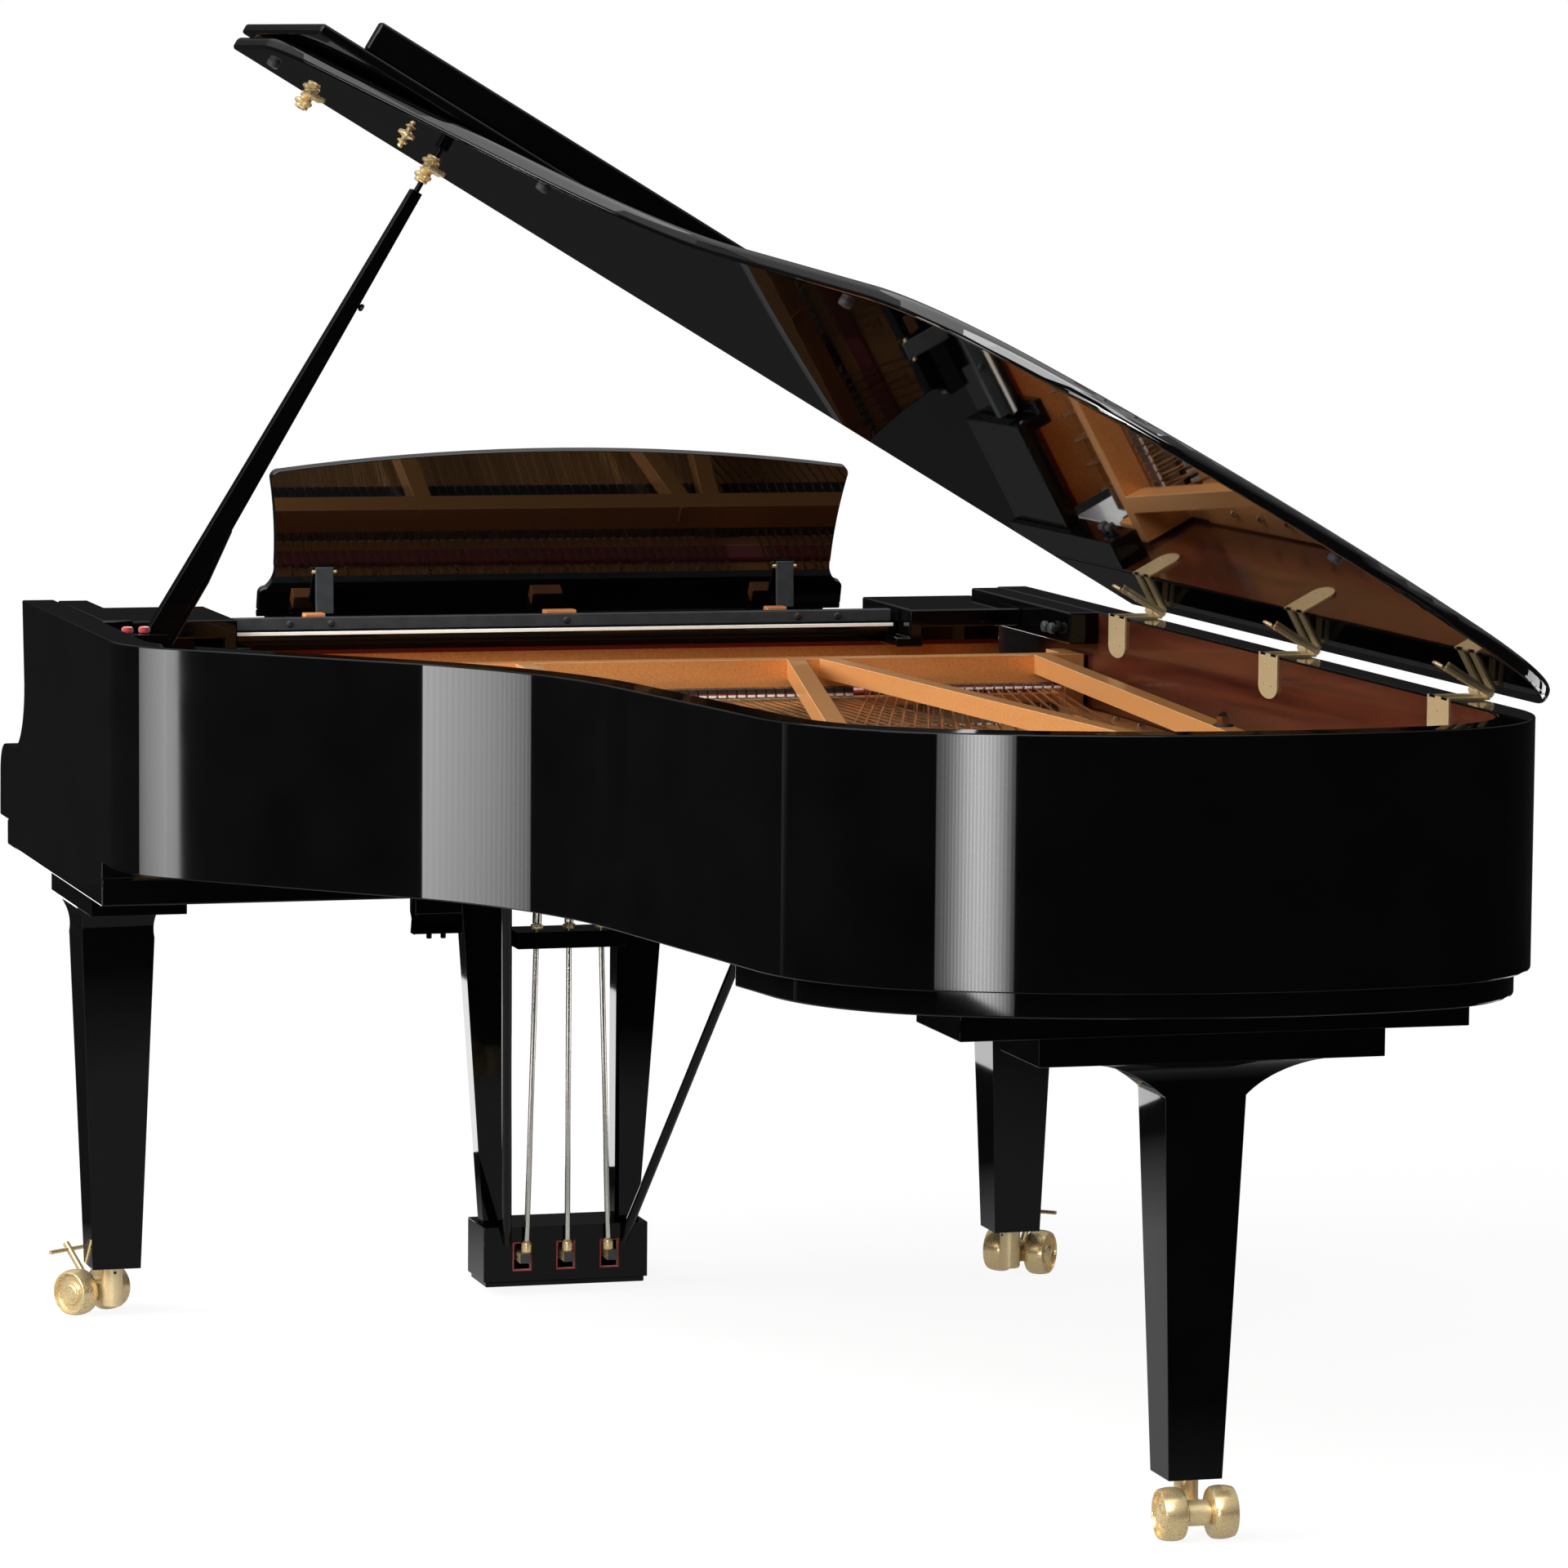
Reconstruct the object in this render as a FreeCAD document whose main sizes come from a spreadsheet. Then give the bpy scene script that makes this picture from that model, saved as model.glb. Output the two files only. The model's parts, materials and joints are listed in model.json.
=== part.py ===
import FreeCAD, Part
import math
import os
import re
import types

import Sketcher
from FreeCAD import Placement, Rotation, Vector

# Driving sizes in millimetres and degrees.
# A "back" is measured from the front of the arms, a "side" from the middle of the case.
SIZES = {
    # case and its plan
    "case_width": 1510, "case_length": 2378, "rim_top": 1000, "rim_bottom": 694,
    "rim_wall": 46, "veneer": 2, "seam": 0.3, "inner_rim_depth": 106,
    "bend_back": 956, "bend_radius": 180, "waist_side": 298, "waist_back": 1421,
    "waist_radius": 700, "neck_side": 182, "neck_drop": 253, "shoulder_radius": 300,
    "tail_side": 390, "tail_radius": 950, "corner_radius": 220,
    "arm_top_back": 194, "throat_back": 208, "throat_rise": 99, "cove_back": 112,
    "nose_rise": 110, "nose_back": 48, "nose_drop": 45,
    # boards under and across the case
    "keybed_low": 634, "keybed_high": 671, "keybed_front": 63, "keybed_rear": 815,
    "belly_front": 702, "belly_rear": 737, "board_low": 836, "board_high": 845,
    "rib_low": 816, "rib_width": 24, "beam_low": 712, "beam_high": 790, "beam_width": 70,
    "tail_board_length": 418, "tail_board_inset": 20, "tail_board_low": 662,
    "rail_front": 212, "rail_inset": 92, "rail_rear_bass": 674, "rail_rear_treble": 560,
    "rail_low": 955, "shelf_rear": 452, "shelf_side": 494, "shelf_low": 964,
    "shelf_high": 989, "runner_low": 935, "runner_ledge": 20,
    # sounding parts
    "bridge_high": 887.7, "bass_bridge_high": 901.7, "bridge_width": 34, "string_height": 888,
    "string_width": 1.6, "bass_string_width": 3.4, "bass_string_rise": 14, "bass_string_lift": 3,
    "break_gap": 52,
    "plate_inset": 52, "plate_flange": 54, "flange_high": 861, "field_low": 866,
    "field_high": 878, "field_front": 345, "field_rear": 598, "field_inset": 55,
    "web_rear": 630, "web_low": 896, "web_high": 937, "strut_low": 910, "strut_width": 26,
    "post_length": 60, "pinblock_low": 834, "pinblock_front": 350, "pinblock_rear": 575,
    "pinblock_inset": 65, "pin_width": 7, "pin_high": 903, "pin_back": 400, "pin_row": 55,
    "agraffe_back": 615, "agraffe_inset": 11,
    # keyboard and action
    "cheek_room": 144, "key_gap": 1, "white_front": 90, "white_head": 50,
    "key_rear": 470, "key_low": 714, "white_high": 740, "black_front": 142,
    "black_rear": 238, "black_high": 752, "black_slope": 4, "black_width": 11,
    "slip_rear": 84, "slip_high": 730, "frame_front": 100, "frame_rear": 476,
    "frame_high": 686, "balance_back": 330, "balance_half": 12, "balance_ridge": 3,
    "balance_high": 708, "front_rail_back": 110, "front_rail_length": 20,
    "front_rail_high": 698, "block_front": 24, "block_rear": 276, "block_high": 790,
    "block_step": 230, "block_low_high": 768, "fall_back": 250, "fall_rise": 25,
    "fall_thickness": 20, "fall_reach": 165, "fall_lip": 8, "fall_pin": 5,
    "fall_pin_length": 9, "running": 0.05,
    "hammer_pivot_back": 513.5, "hammer_pivot_height": 800, "hammer_reach": 140,
    "hammer_tip": 42, "hammer_width": 9, "shank_thickness": 5, "heel_gap": 0.95, "hammer_head": 20,
    "action_rail_front": 490, "action_rail_rear": 512, "action_rail_low": 786,
    "action_rail_high": 814, "bracket_width": 12, "damper_back": 672, "damper_length": 28,
    "damper_high": 902, "damper_gap": 0.4, "damper_width": 9, "wire_width": 2, "wire_low": 770,
    # music desk
    "tray_front": 214, "tray_rear": 397, "tray_low": 949, "tray_high": 967,
    "tray_half": 490, "bar_front": 368, "bar_rear": 384, "bar_high": 985, "bar_half": 486,
    "desk_back": 292, "desk_axis": 985, "desk_lean": 17, "desk_thickness": 14,
    "desk_foot_half": 434, "desk_foot_high": 30, "desk_foot_round": 10, "desk_neck_half": 413,
    "desk_neck_high": 74, "desk_top_half": 427, "desk_shoulder_high": 206, "desk_round": 12,
    "desk_sweep": 3, "desk_high": 246, "ledge_front": 246, "ledge_rear": 282, "ledge_high": 979,
    "strut_side": 342, "desk_arm_width": 26, "desk_arm_thickness": 7, "desk_arm_high": 72,
    "desk_arm_length": 67, "desk_arm_fold": 20, "rest_block_front": 331,
    "rest_block_rear": 353, "rest_block_high": 988, "rest_block_width": 46,
    "desk_hinge": 5, "lug_width": 40,
    # lid, hinges and prop
    "lid_open": 30.8, "lid_low": 1008, "lid_thickness": 20, "lid_overhang": 8,
    "lid_round": 9, "lid_soft_edge": 5, "hinge_overhang": 6, "lid_edge_inset": 1,
    "fold_back": 678, "fold_gap": 1.5,
    "flap_thickness": 15, "flap_length": 492, "flap_gap": 4, "nosing_inset": 66,
    "nosing_thickness": 18, "nosing_height": 42, "nosing_setback": 4,
    "leaf_width": 20, "leaf_thickness": 1.5, "flap_knuckle": 1.8, "flap_pin": 0.9,
    "knuckle_gap": 0.2, "hinge_first": 762, "hinge_tail": 384, "knuckle_radius": 6,
    "knuckle_length": 20, "hinge_pin": 3, "strap_width": 18, "strap_low": 945,
    "strap_thickness": 3, "lever_length": 74, "lever_thickness": 5,
    "bumper_radius": 9, "bumper_height": 7.4,
    "prop_inset": 89.2, "cup_step": 195, "cup_back": 664, "cup_radius": 12, "cup_wall": 4,
    "cup_depth": 20, "cup_plate": 3, "cup_tongue": 42, "catch_side": 543, "catch_back": 914,
    "prop_height": 960, "prop_gap": 12, "prop_pin": 4, "prop_pin_length": 22,
    "prop_foot": 17, "prop_top": 7.5, "prop_thickness": 22, "prop_axle": 6, "pin_stand_out": 3,
    "bracket_low": 932, "bracket_high": 992, "bracket_inset": 115, "bracket_length": 30,
    # legs and casters
    "leg_inset": 87, "leg_back": 420, "tail_leg_inset": 420, "tail_leg_drop": 233,
    "leg_top": 545, "leg_low": 72, "leg_top_width": 103, "leg_low_width": 69,
    "leg_plate_half": 67, "leg_plate_front": 105, "leg_plate_rear": 208, "leg_plate_low": 597,
    "cap_flare": 12, "tail_plate_half": 323, "tail_plate_depth": 88, "tail_plate_low": 626,
    "tail_cap_half": 220, "tail_cap_depth": 75, "tail_cap_low": 590,
    "stem_radius": 8, "stem_high": 112, "housing_radius": 15, "housing_low": 14,
    "housing_high": 71, "trail": 40, "wheel_radius": 33, "wheel_width": 30, "wheel_inner": 17,
    "wheel_gap": 0.5, "wheel_edge": 3, "axle_radius": 6, "barrel_radius": 16, "fork_web": 12,
    "rim_recess": 6, "tread": 6, "hub_radius": 13, "overrun": 1, "brake_rise": 49,
    "brake_radius": 4.8, "brake_root": 10, "brake_length": 80, "brake_bar_at": 69,
    "brake_bar": 78, "brake_bar_radius": 2.9,
    "heading_treble": -55, "heading_bass": -130, "heading_tail": 88,
    # lyre and pedals
    "lyre_back": 353, "lyre_top_half": 165, "lyre_top_depth": 82, "lyre_top_low": 600,
    "pillar_inner": 80, "pillar_top_outer": 152, "pillar_low_outer": 116,
    "pillar_top_depth": 40, "pillar_low_depth": 32, "box_half": 122, "box_front": 300,
    "box_rear": 399, "box_low": 20, "box_high": 100, "box_wall": 9, "pedal_spread": 65,
    "pedal_axis_back": 352, "pedal_axis": 56, "pedal_axle": 3, "pedal_thickness": 14,
    "pedal_neck": 7, "pedal_tip": 17, "pedal_front": 186, "pedal_rear": 417,
    "pedal_flare": 268, "pedal_toe": 238, "slot_room": 14, "rod_back": 407, "rod_radius": 4,
    "rod_low_shift": 4, "rod_high_shift": 20, "rod_high": 628,
    "guide_low": 507, "guide_high": 531, "guide_rear": 426,
    "brace_radius": 7, "brace_low": 82, "brace_low_side": 88, "brace_high_side": 186,
    "brace_high_back": 790, "trap_inner": 165, "trap_outer": 234, "trap_front": 404,
    "trap_rear": 440, "trap_low": 534,
}

# The twelve keys of an octave, from A: is it black, and the share of a white key's width
# by which a black key stands off the joint of its two white neighbours
OCTAVE_SHARES = (
    (False, 0), (True, 0.13), (False, 0), (False, 0), (True, -0.10), (False, 0),
    (True, 0.10), (False, 0), (False, 0), (True, -0.13), (False, 0), (True, 0),
)
NOTES = 88
BASS_NOTES = 20
DAMPED_NOTES = 70
# Plan shares of the bridges: side as a share of half the width, back as a share of the length
LONG_BRIDGE_SHARES = (
    (-0.62, 0.858), (-0.30, 0.824), (-0.03, 0.736), (0.16, 0.610), (0.36, 0.496),
    (0.60, 0.404), (0.80, 0.336),
)
BASS_BRIDGE_SHARES = ((-0.48, 0.921), (-0.20, 0.904), (0.02, 0.862), (0.10, 0.816))
# Plan shares of the plate's struts: side at the web, side and back at the tail end
STRUT_SHARES = (
    (-0.85, -0.64, 0.955), (-0.42, -0.58, 0.958), (-0.37, 0.10, 0.900),
    (0.16, 0.24, 0.690), (0.52, 0.55, 0.480),
)
BEAM_SHARES = ((-0.60, -0.66), (-0.18, -0.34), (0.30, -0.02))
ACTION_BRACKET_SHARES = (-1, -0.4, 0.2, 1)
# Where the lid's hinges stand between the first and the last of them
HINGE_SHARES = (0, 0.503, 1)
BUMPER_SHARES = ((0.962, 0.339), (0.560, 0.528), (0.240, 0.814), (-0.497, 0.990))
RIBS = 9
RIB_START_SHARE = 0.8
RIB_LEAN_SHARE = 0.8
BRIDGE_STEPS = 8
PIN_ROWS = 3
KNUCKLES = 10
HAMMER_BEVEL_SHARE = 1 / 3
BRACE_OVERRUN_SHARE = 0.1
ROUND_SHARE = math.sqrt(2) - 1

doc = FreeCAD.newDocument("grand_piano")
sheet = doc.addObject("Spreadsheet::Sheet", "Sizes")
for row, (alias, size) in enumerate(SIZES.items(), 1):
    sheet.set(f"A{row}", alias)
    sheet.set(f"B{row}", str(size))
    sheet.setAlias(f"B{row}", alias)
doc.recompute()
s = types.SimpleNamespace(**{alias: float(sheet.get(alias)) for alias in SIZES})
NODES = []
HALF = s.case_width / 2
RAIL_SIDE = HALF - s.rail_inset
HINGE_SIDE = HALF + s.hinge_overhang
LID_EDGE = HALF - s.lid_edge_inset
ACROSS = Vector(1, 0, 0)
ALONG = Vector(0, 1, 0)
UP = Vector(0, 0, 1)


def bound(text):
    """A formula of aliases as an expression on the sheet."""
    return re.sub(r"[a-z_]{3,}", lambda word: f"Sizes.{word.group()}", text)


def value(text):
    """What a formula of aliases comes to now."""
    return float(sheet.evalExpression(bound(text)))


def point(side, back, height=0.0):
    """A point of the case from its side, its back and its height."""
    return Vector(side, back - s.case_length / 2, height)


def keep(item, label):
    """Marks an object as a sub-part and names it."""
    item.Label = label
    NODES.append(item)
    return item


def feature(label, shape, placement=None):
    """A sub-part whose shape is worked out from the sheet's sizes in code."""
    item = doc.addObject("Part::Feature", label)
    item.Shape = shape
    if placement:
        item.Placement = placement
    return keep(item, label)


def block(label, side, back, height):
    """A sub-part that is a plain board, each pair the formulas of its two ends."""
    item = doc.addObject("Part::Box", label)
    shift = " - case_length / 2"
    for name, axis, (low, high), move in (
        ("Length", "x", side, ""), ("Width", "y", back, shift), ("Height", "z", height, "")
    ):
        item.setExpression(name, bound(f"({high}) - ({low})"))
        item.setExpression(f"Placement.Base.{axis}", bound(f"({low}){move}"))
    return keep(item, label)


def board(side, back, height):
    """A box between two sides, two backs and two heights."""
    corner = point(side[0], back[0], height[0])
    return Part.makeBox(side[1] - side[0], back[1] - back[0], height[1] - height[0], corner)


def prism(points, path):
    """A solid with a polygon for its end."""
    return Part.Face(Part.makePolygon(list(points) + [points[0]])).extrude(path)


def rod(start, end, radius):
    """A round bar between two points."""
    way = end - start
    return Part.makeCylinder(radius, way.Length, start, way)


def joined(shapes):
    """One solid out of shapes that meet."""
    whole = shapes[0].multiFuse(shapes[1:])
    tidy = whole.removeSplitter()
    return tidy if tidy.isValid() else whole


def mirrored(shape):
    """The same shape on the other side of the case."""
    return shape.mirror(Vector(), ACROSS)


def both(shape):
    """A shape and its mirror image, as two solids."""
    return Part.makeCompound([shape, mirrored(shape)])


def origin_plane(body, role):
    """One of a body's own origin planes."""
    return next(o for o in body.Origin.OriginFeatures if o.Role == role)


def outline_sketch(body, role, corners):
    """A closed sketch on an origin plane, each corner a pair of formulas."""
    sketch = body.newObject("Sketcher::SketchObject", f"{body.Name}_outline")
    sketch.AttachmentSupport = (origin_plane(body, role), [""])
    sketch.MapMode = "FlatFace"
    at = [Vector(value(a), value(b), 0) for a, b in corners]
    count = len(at)
    sketch.addGeometry([Part.LineSegment(at[i], at[(i + 1) % count]) for i in range(count)], False)
    for i in range(count):
        sketch.addConstraint(Sketcher.Constraint("Coincident", i, 2, (i + 1) % count, 1))
    for i, pair in enumerate(corners):
        for kind, formula in zip(("DistanceX", "DistanceY"), pair):
            held = Sketcher.Constraint(kind, -1, 1, i, 1, value(formula))
            number = sketch.addConstraint(held)
            sketch.setExpression(f"Constraints[{number}]", bound(formula))
    return sketch


def plan_joints():
    """The case's plan as (kind, start, end, centre, turn) from the treble arm to the bass arm."""
    start, stop = point(HALF, 0), point(-HALF, 0)
    bend, waist = point(HALF, s.bend_back), point(s.waist_side, s.waist_back)
    neck = point(s.neck_side, s.case_length - s.neck_drop)

    def rounded(before, corner, after, radius):
        one, two = (before - corner).normalize(), (after - corner).normalize()
        half = one.getAngle(two) / 2
        reach = radius / math.tan(half)
        middle = corner + (one + two).normalize() * (radius / math.sin(half))
        return corner + one * reach, corner + two * reach, middle

    bend_in, bend_out, bend_centre = rounded(start, bend, waist, s.bend_radius)
    waist_in, waist_out, waist_centre = rounded(bend, waist, neck, s.waist_radius)
    tail = point(-s.tail_side, s.case_length - s.tail_radius)
    way = (neck - waist).normalize()
    inward = Vector(-way.y, way.x, 0)
    foot = waist + inward * s.shoulder_radius - tail
    slant = foot.dot(way)
    room = (s.tail_radius - s.shoulder_radius) ** 2 - foot.dot(foot)
    shoulder = tail + foot + way * (math.sqrt(slant ** 2 + room) - slant)
    shoulder_in = shoulder - inward * s.shoulder_radius
    shoulder_out = tail + (shoulder - tail).normalize() * s.tail_radius
    across = -HALF + s.corner_radius - tail.x
    rise = math.sqrt((s.tail_radius - s.corner_radius) ** 2 - across ** 2)
    corner = tail + Vector(across, rise, 0)
    corner_in = tail + (corner - tail).normalize() * s.tail_radius
    corner_out = corner - ACROSS * s.corner_radius
    return [
        ("line", start, bend_in, None, 0), ("arc", bend_in, bend_out, bend_centre, 1),
        ("line", bend_out, waist_in, None, 0), ("arc", waist_in, waist_out, waist_centre, -1),
        ("line", waist_out, shoulder_in, None, 0),
        ("arc", shoulder_in, shoulder_out, shoulder, 1),
        ("arc", shoulder_out, corner_in, tail, 1), ("arc", corner_in, corner_out, corner, 1),
        ("line", corner_out, stop, None, 0),
    ]


PLAN = plan_joints()


def plan_face(inset, front):
    """The case's plan, drawn in by an inset, behind a given back."""
    def drawn_in(at, centre, turn):
        radius = (at - centre).Length
        return centre + (at - centre) * ((radius - turn * inset) / radius)

    first, last = point(HALF - inset, front), point(-HALF + inset, front)
    moved = {}
    for kind, start, end, centre, turn in PLAN:
        if kind == "arc":
            moved[tuple(start)] = drawn_in(start, centre, turn)
            moved[tuple(end)] = drawn_in(end, centre, turn)
    edges = []
    for kind, start, end, centre, turn in PLAN:
        one, two = moved.get(tuple(start), first), moved.get(tuple(end), last)
        if kind == "line":
            edges.append(Part.makeLine(one, two))
            continue
        reach = (one - centre).Length
        middle = centre + ((one - centre) + (two - centre)).normalize() * reach
        edges.append(Part.Arc(one, middle, two).toShape())
    edges.append(Part.makeLine(last, first))
    return Part.Face(Part.Wire(edges))


def slab(inset, front, low, high):
    """A board with the case's plan, between two heights."""
    face = plan_face(inset, front)
    face.translate(UP * low)
    return face.extrude(UP * (high - low))


def ring(outer, inner, front, low, high):
    """A wall that follows the case's plan and is open at the front."""
    hollow = slab(inner, front - s.rim_wall, low - s.rim_wall, high + s.rim_wall)
    return slab(outer, front, low, high).cut(hollow)


def quarter(start, end, corner):
    """A round from one point to another that leans towards a corner."""
    middle = (start + end) * 0.5
    return Part.Arc(start, middle + (corner - middle) * ROUND_SHARE, end).toShape()


def arm_relief():
    """What the arms' front outline takes off the front of the rim."""
    nose_height = s.keybed_high + s.nose_rise
    top = point(0, s.arm_top_back, s.rim_top)
    throat = point(0, s.throat_back, nose_height + s.throat_rise)
    cove = point(0, s.cove_back, nose_height)
    nose = point(0, s.nose_back, nose_height - s.veneer)
    front = point(0, s.veneer, nose_height - s.nose_drop)
    toe = point(0, 0, s.keybed_high)
    far_low = point(0, -s.rim_wall, s.keybed_high)
    far_high = point(0, -s.rim_wall, s.rim_top + s.rim_wall)
    lid_side = point(0, s.arm_top_back, s.rim_top + s.rim_wall)
    edges = [
        Part.makeLine(lid_side, top), Part.makeLine(top, throat),
        quarter(throat, cove, point(0, s.throat_back, nose_height)),
        Part.makeLine(cove, nose), quarter(nose, front, point(0, 0, nose_height)),
        Part.makeLine(front, toe), Part.makeLine(toe, far_low),
        Part.makeLine(far_low, far_high), Part.makeLine(far_high, lid_side),
    ]
    face = Part.Face(Part.Wire(edges))
    face.translate(ACROSS * -s.case_width)
    return face.extrude(ACROSS * (2 * s.case_width))


def ribbon(shares, width, low, high):
    """A bar of even width along a smooth line through shares of the plan."""
    line = Part.BSplineCurve()
    line.interpolate([point(a * HALF, b * s.case_length, low) for a, b in shares])
    first, span = line.FirstParameter, line.LastParameter - line.FirstParameter
    steps = [first + span * i / BRIDGE_STEPS for i in range(BRIDGE_STEPS + 1)]
    sides = []
    for turn in (1, -1):
        edge = Part.BSplineCurve()
        spots = []
        for step in steps:
            way = line.tangent(step)[0]
            spots.append(line.value(step) + Vector(-way.y, way.x, 0) * (turn * width / 2))
        edge.interpolate(spots)
        sides.append(edge)
    one, two = (edge.toShape() for edge in sides)
    ends = [
        Part.makeLine(one.valueAt(at(one)), two.valueAt(at(two)))
        for at in (lambda e: e.FirstParameter, lambda e: e.LastParameter)
    ]
    wire = Part.Wire(Part.__sortEdges__([one, ends[1], two, ends[0]]))
    return line, Part.Face(wire).extrude(UP * (high - low))


def bar(start, end, width, low, high):
    """A straight beam between two plan points."""
    way = Vector(end.x - start.x, end.y - start.y, 0).normalize()
    off = Vector(-way.y, way.x, 0) * (width / 2)
    base = [Vector(p.x, p.y, low) for p in (start + off, end + off, end - off, start - off)]
    return prism(base, UP * (high - low))


# Case: the bent rim with its arms, its veneer, the inner rim and the boards
rim = ring(0, s.rim_wall, 0, s.keybed_high, s.rim_top)
below = board((-s.case_width, s.case_width), (s.keybed_rear, 2 * s.case_length),
              (s.keybed_low, s.rim_bottom))
feature("outer_rim", rim.cut(below).cut(arm_relief()))
lining = s.rim_wall + s.seam
feature("rim_veneer", ring(lining, lining + s.veneer, s.rail_front,
                           s.board_high + s.veneer, s.rim_top - s.veneer))
feature("inner_rim", ring(lining, s.inner_rim_depth, s.belly_rear, s.rim_bottom, s.board_low))
block("keybed", ("-case_width / 2", "case_width / 2"), ("keybed_front", "keybed_rear"),
      ("keybed_low", "keybed_high"))
belly_rail = board((-HALF + lining, HALF - lining), (s.belly_front, s.belly_rear),
                   (s.keybed_high, s.board_low))
inside = slab(s.inner_rim_depth + s.seam, s.belly_rear, s.rim_bottom, s.board_low)
beams = []
for near, far in BEAM_SHARES:
    line = bar(point(near * HALF, s.belly_front), point(far * HALF, s.case_length),
               s.beam_width, s.beam_low, s.beam_high)
    beams.append(line.common(inside))
feature("case_beams", Part.makeCompound([belly_rail] + [b.Solids[0] for b in beams]))
behind = board((-s.case_width, s.case_width),
               (s.case_length - s.tail_board_length, 2 * s.case_length), (0, s.rim_top))
tail_board = slab(s.tail_board_inset, 0, s.tail_board_low, s.rim_bottom).common(behind)
feature("tail_board", tail_board)
rails = [board((RAIL_SIDE, HALF - lining - s.veneer), (s.rail_front, s.rail_rear_treble),
               (s.rail_low, s.rim_top))]
rails.append(mirrored(board((RAIL_SIDE, HALF - lining - s.veneer),
                            (s.rail_front, s.rail_rear_bass), (s.rail_low, s.rim_top))))
shelf = board((s.shelf_side, RAIL_SIDE), (s.rail_front, s.shelf_rear), (s.shelf_low, s.shelf_high))
ledge, edge = s.shelf_side - s.runner_ledge, s.shelf_side + s.runner_ledge
runner_end = [point(ledge, s.rail_front, s.runner_low), point(edge, s.rail_front, s.runner_low),
              point(edge, s.rail_front, s.shelf_low), point(s.shelf_side, s.rail_front, s.shelf_low),
              point(s.shelf_side, s.rail_front, s.tray_low), point(ledge, s.rail_front, s.tray_low)]
runner = prism(runner_end, ALONG * (s.shelf_rear - s.rail_front))
shelf = joined([shelf, runner])
feature("desk_shelves", Part.makeCompound(rails + [shelf, mirrored(shelf)]))

# Soundboard, its ribs and bridges
board_inset = lining + s.veneer + s.seam
ribs = [slab(board_inset, s.belly_front, s.board_low, s.board_high)]
for number in range(RIBS):
    centre = s.belly_rear + (s.case_length - s.belly_rear) * (number + RIB_START_SHARE) / (RIBS + 1)
    lean = s.case_width * RIB_LEAN_SHARE
    line = bar(point(-s.case_width, centre - lean), point(s.case_width, centre + lean),
               s.rib_width, s.rib_low, s.board_low)
    ribs += line.common(inside).Solids
feature("soundboard", Part.makeCompound(ribs))
long_line, long_bridge = ribbon(LONG_BRIDGE_SHARES, s.bridge_width, s.board_high, s.bridge_high)
bass_line, bass_bridge = ribbon(BASS_BRIDGE_SHARES, s.bridge_width, s.board_high, s.bass_bridge_high)
feature("bridges", Part.makeCompound([long_bridge, bass_bridge]))

# Iron plate: pin field, web, struts and flange in one casting
flange = ring(s.plate_inset, s.plate_inset + s.plate_flange, s.belly_front, s.board_high, s.flange_high)
field_side = HALF - s.field_inset
casting = [
    flange,
    board((-field_side, field_side), (s.field_front, s.field_rear), (s.field_low, s.field_high)),
    board((-field_side, field_side), (s.field_rear, s.web_rear), (s.web_low, s.web_high)),
]
post_side = field_side - s.plate_flange / 2
for turn in (1, -1):
    sides = sorted((turn * post_side, turn * field_side))
    casting.append(board(sides, (s.field_rear - s.post_length, s.web_rear), (s.field_low, s.web_high)))
    casting.append(board(sides, (s.field_rear, s.web_rear), (s.board_high, s.web_high)))
    casting.append(board(sides, (s.field_rear, s.belly_rear), (s.board_high, s.flange_high)))
plate_room = slab(s.plate_inset + s.strut_width / 2, s.field_front, s.board_high, s.web_high)
for near, far, back in STRUT_SHARES:
    start, end = point(near * HALF, s.field_rear), point(far * HALF, back * s.case_length)
    way = (end - start).normalize()
    casting.append(bar(start, end, s.strut_width, s.strut_low, s.web_high).common(plate_room))
    casting.append(bar(end - way * s.post_length, end, s.strut_width, s.board_high, s.web_high)
                   .common(plate_room))
feature("iron_plate", joined(casting))
block("pinblock", ("pinblock_inset - case_width / 2", "case_width / 2 - pinblock_inset"),
      ("pinblock_front", "pinblock_rear"), ("pinblock_low", "field_low"))
KEY_HALF = HALF - s.cheek_room
STRING_HALF = KEY_HALF - s.agraffe_inset


def note_side(note):
    """How far a note's string stands from the middle at the web."""
    gap = s.break_gap if note < BASS_NOTES else 0
    return (-1 + 2 * note / (NOTES - 1)) * STRING_HALF - gap


def wire(start, end, width):
    """A string between two points."""
    way = end - start
    off = Vector(-way.y, way.x, 0).normalize() * (width / 2)
    ends = [start - off, start + off, start + off + UP * width, start - off + UP * width]
    return prism(ends, way)


strings, bass_strings, pins, string_lines = [], [], [], []
for note in range(NOTES):
    bass = note < BASS_NOTES
    line = bass_line if bass else long_line
    part = note / (BASS_NOTES - 1) if bass else (note - BASS_NOTES) / (NOTES - 1 - BASS_NOTES)
    landing = line.value(line.FirstParameter + (line.LastParameter - line.FirstParameter) * part)
    width = s.bass_string_width if bass else s.string_width
    rise = s.bass_string_rise if bass else 0
    side = note_side(note)
    rest = point(side, s.agraffe_back, s.string_height + (s.bass_string_lift if bass else 0))
    landing = Vector(landing.x, landing.y, s.string_height + rise)
    string_lines.append((rest, landing, width))
    peg_back = s.pin_back + s.pin_row * (note % PIN_ROWS)
    peg = point(side, peg_back + s.pin_width, rest.z)
    group = bass_strings if bass else strings
    group.append(joined([wire(rest, landing, width), wire(peg, rest, width)]))
    for row in (0, 1):
        back = peg_back - row * s.pin_width * 2
        pins.append(board((side - s.pin_width / 2, side + s.pin_width / 2),
                          (back - s.pin_width / 2, back + s.pin_width / 2), (s.field_high, s.pin_high)))
feature("plain_strings", Part.makeCompound(strings))
feature("bass_strings", Part.makeCompound(bass_strings))
feature("tuning_pins", Part.makeCompound(pins))


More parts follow.
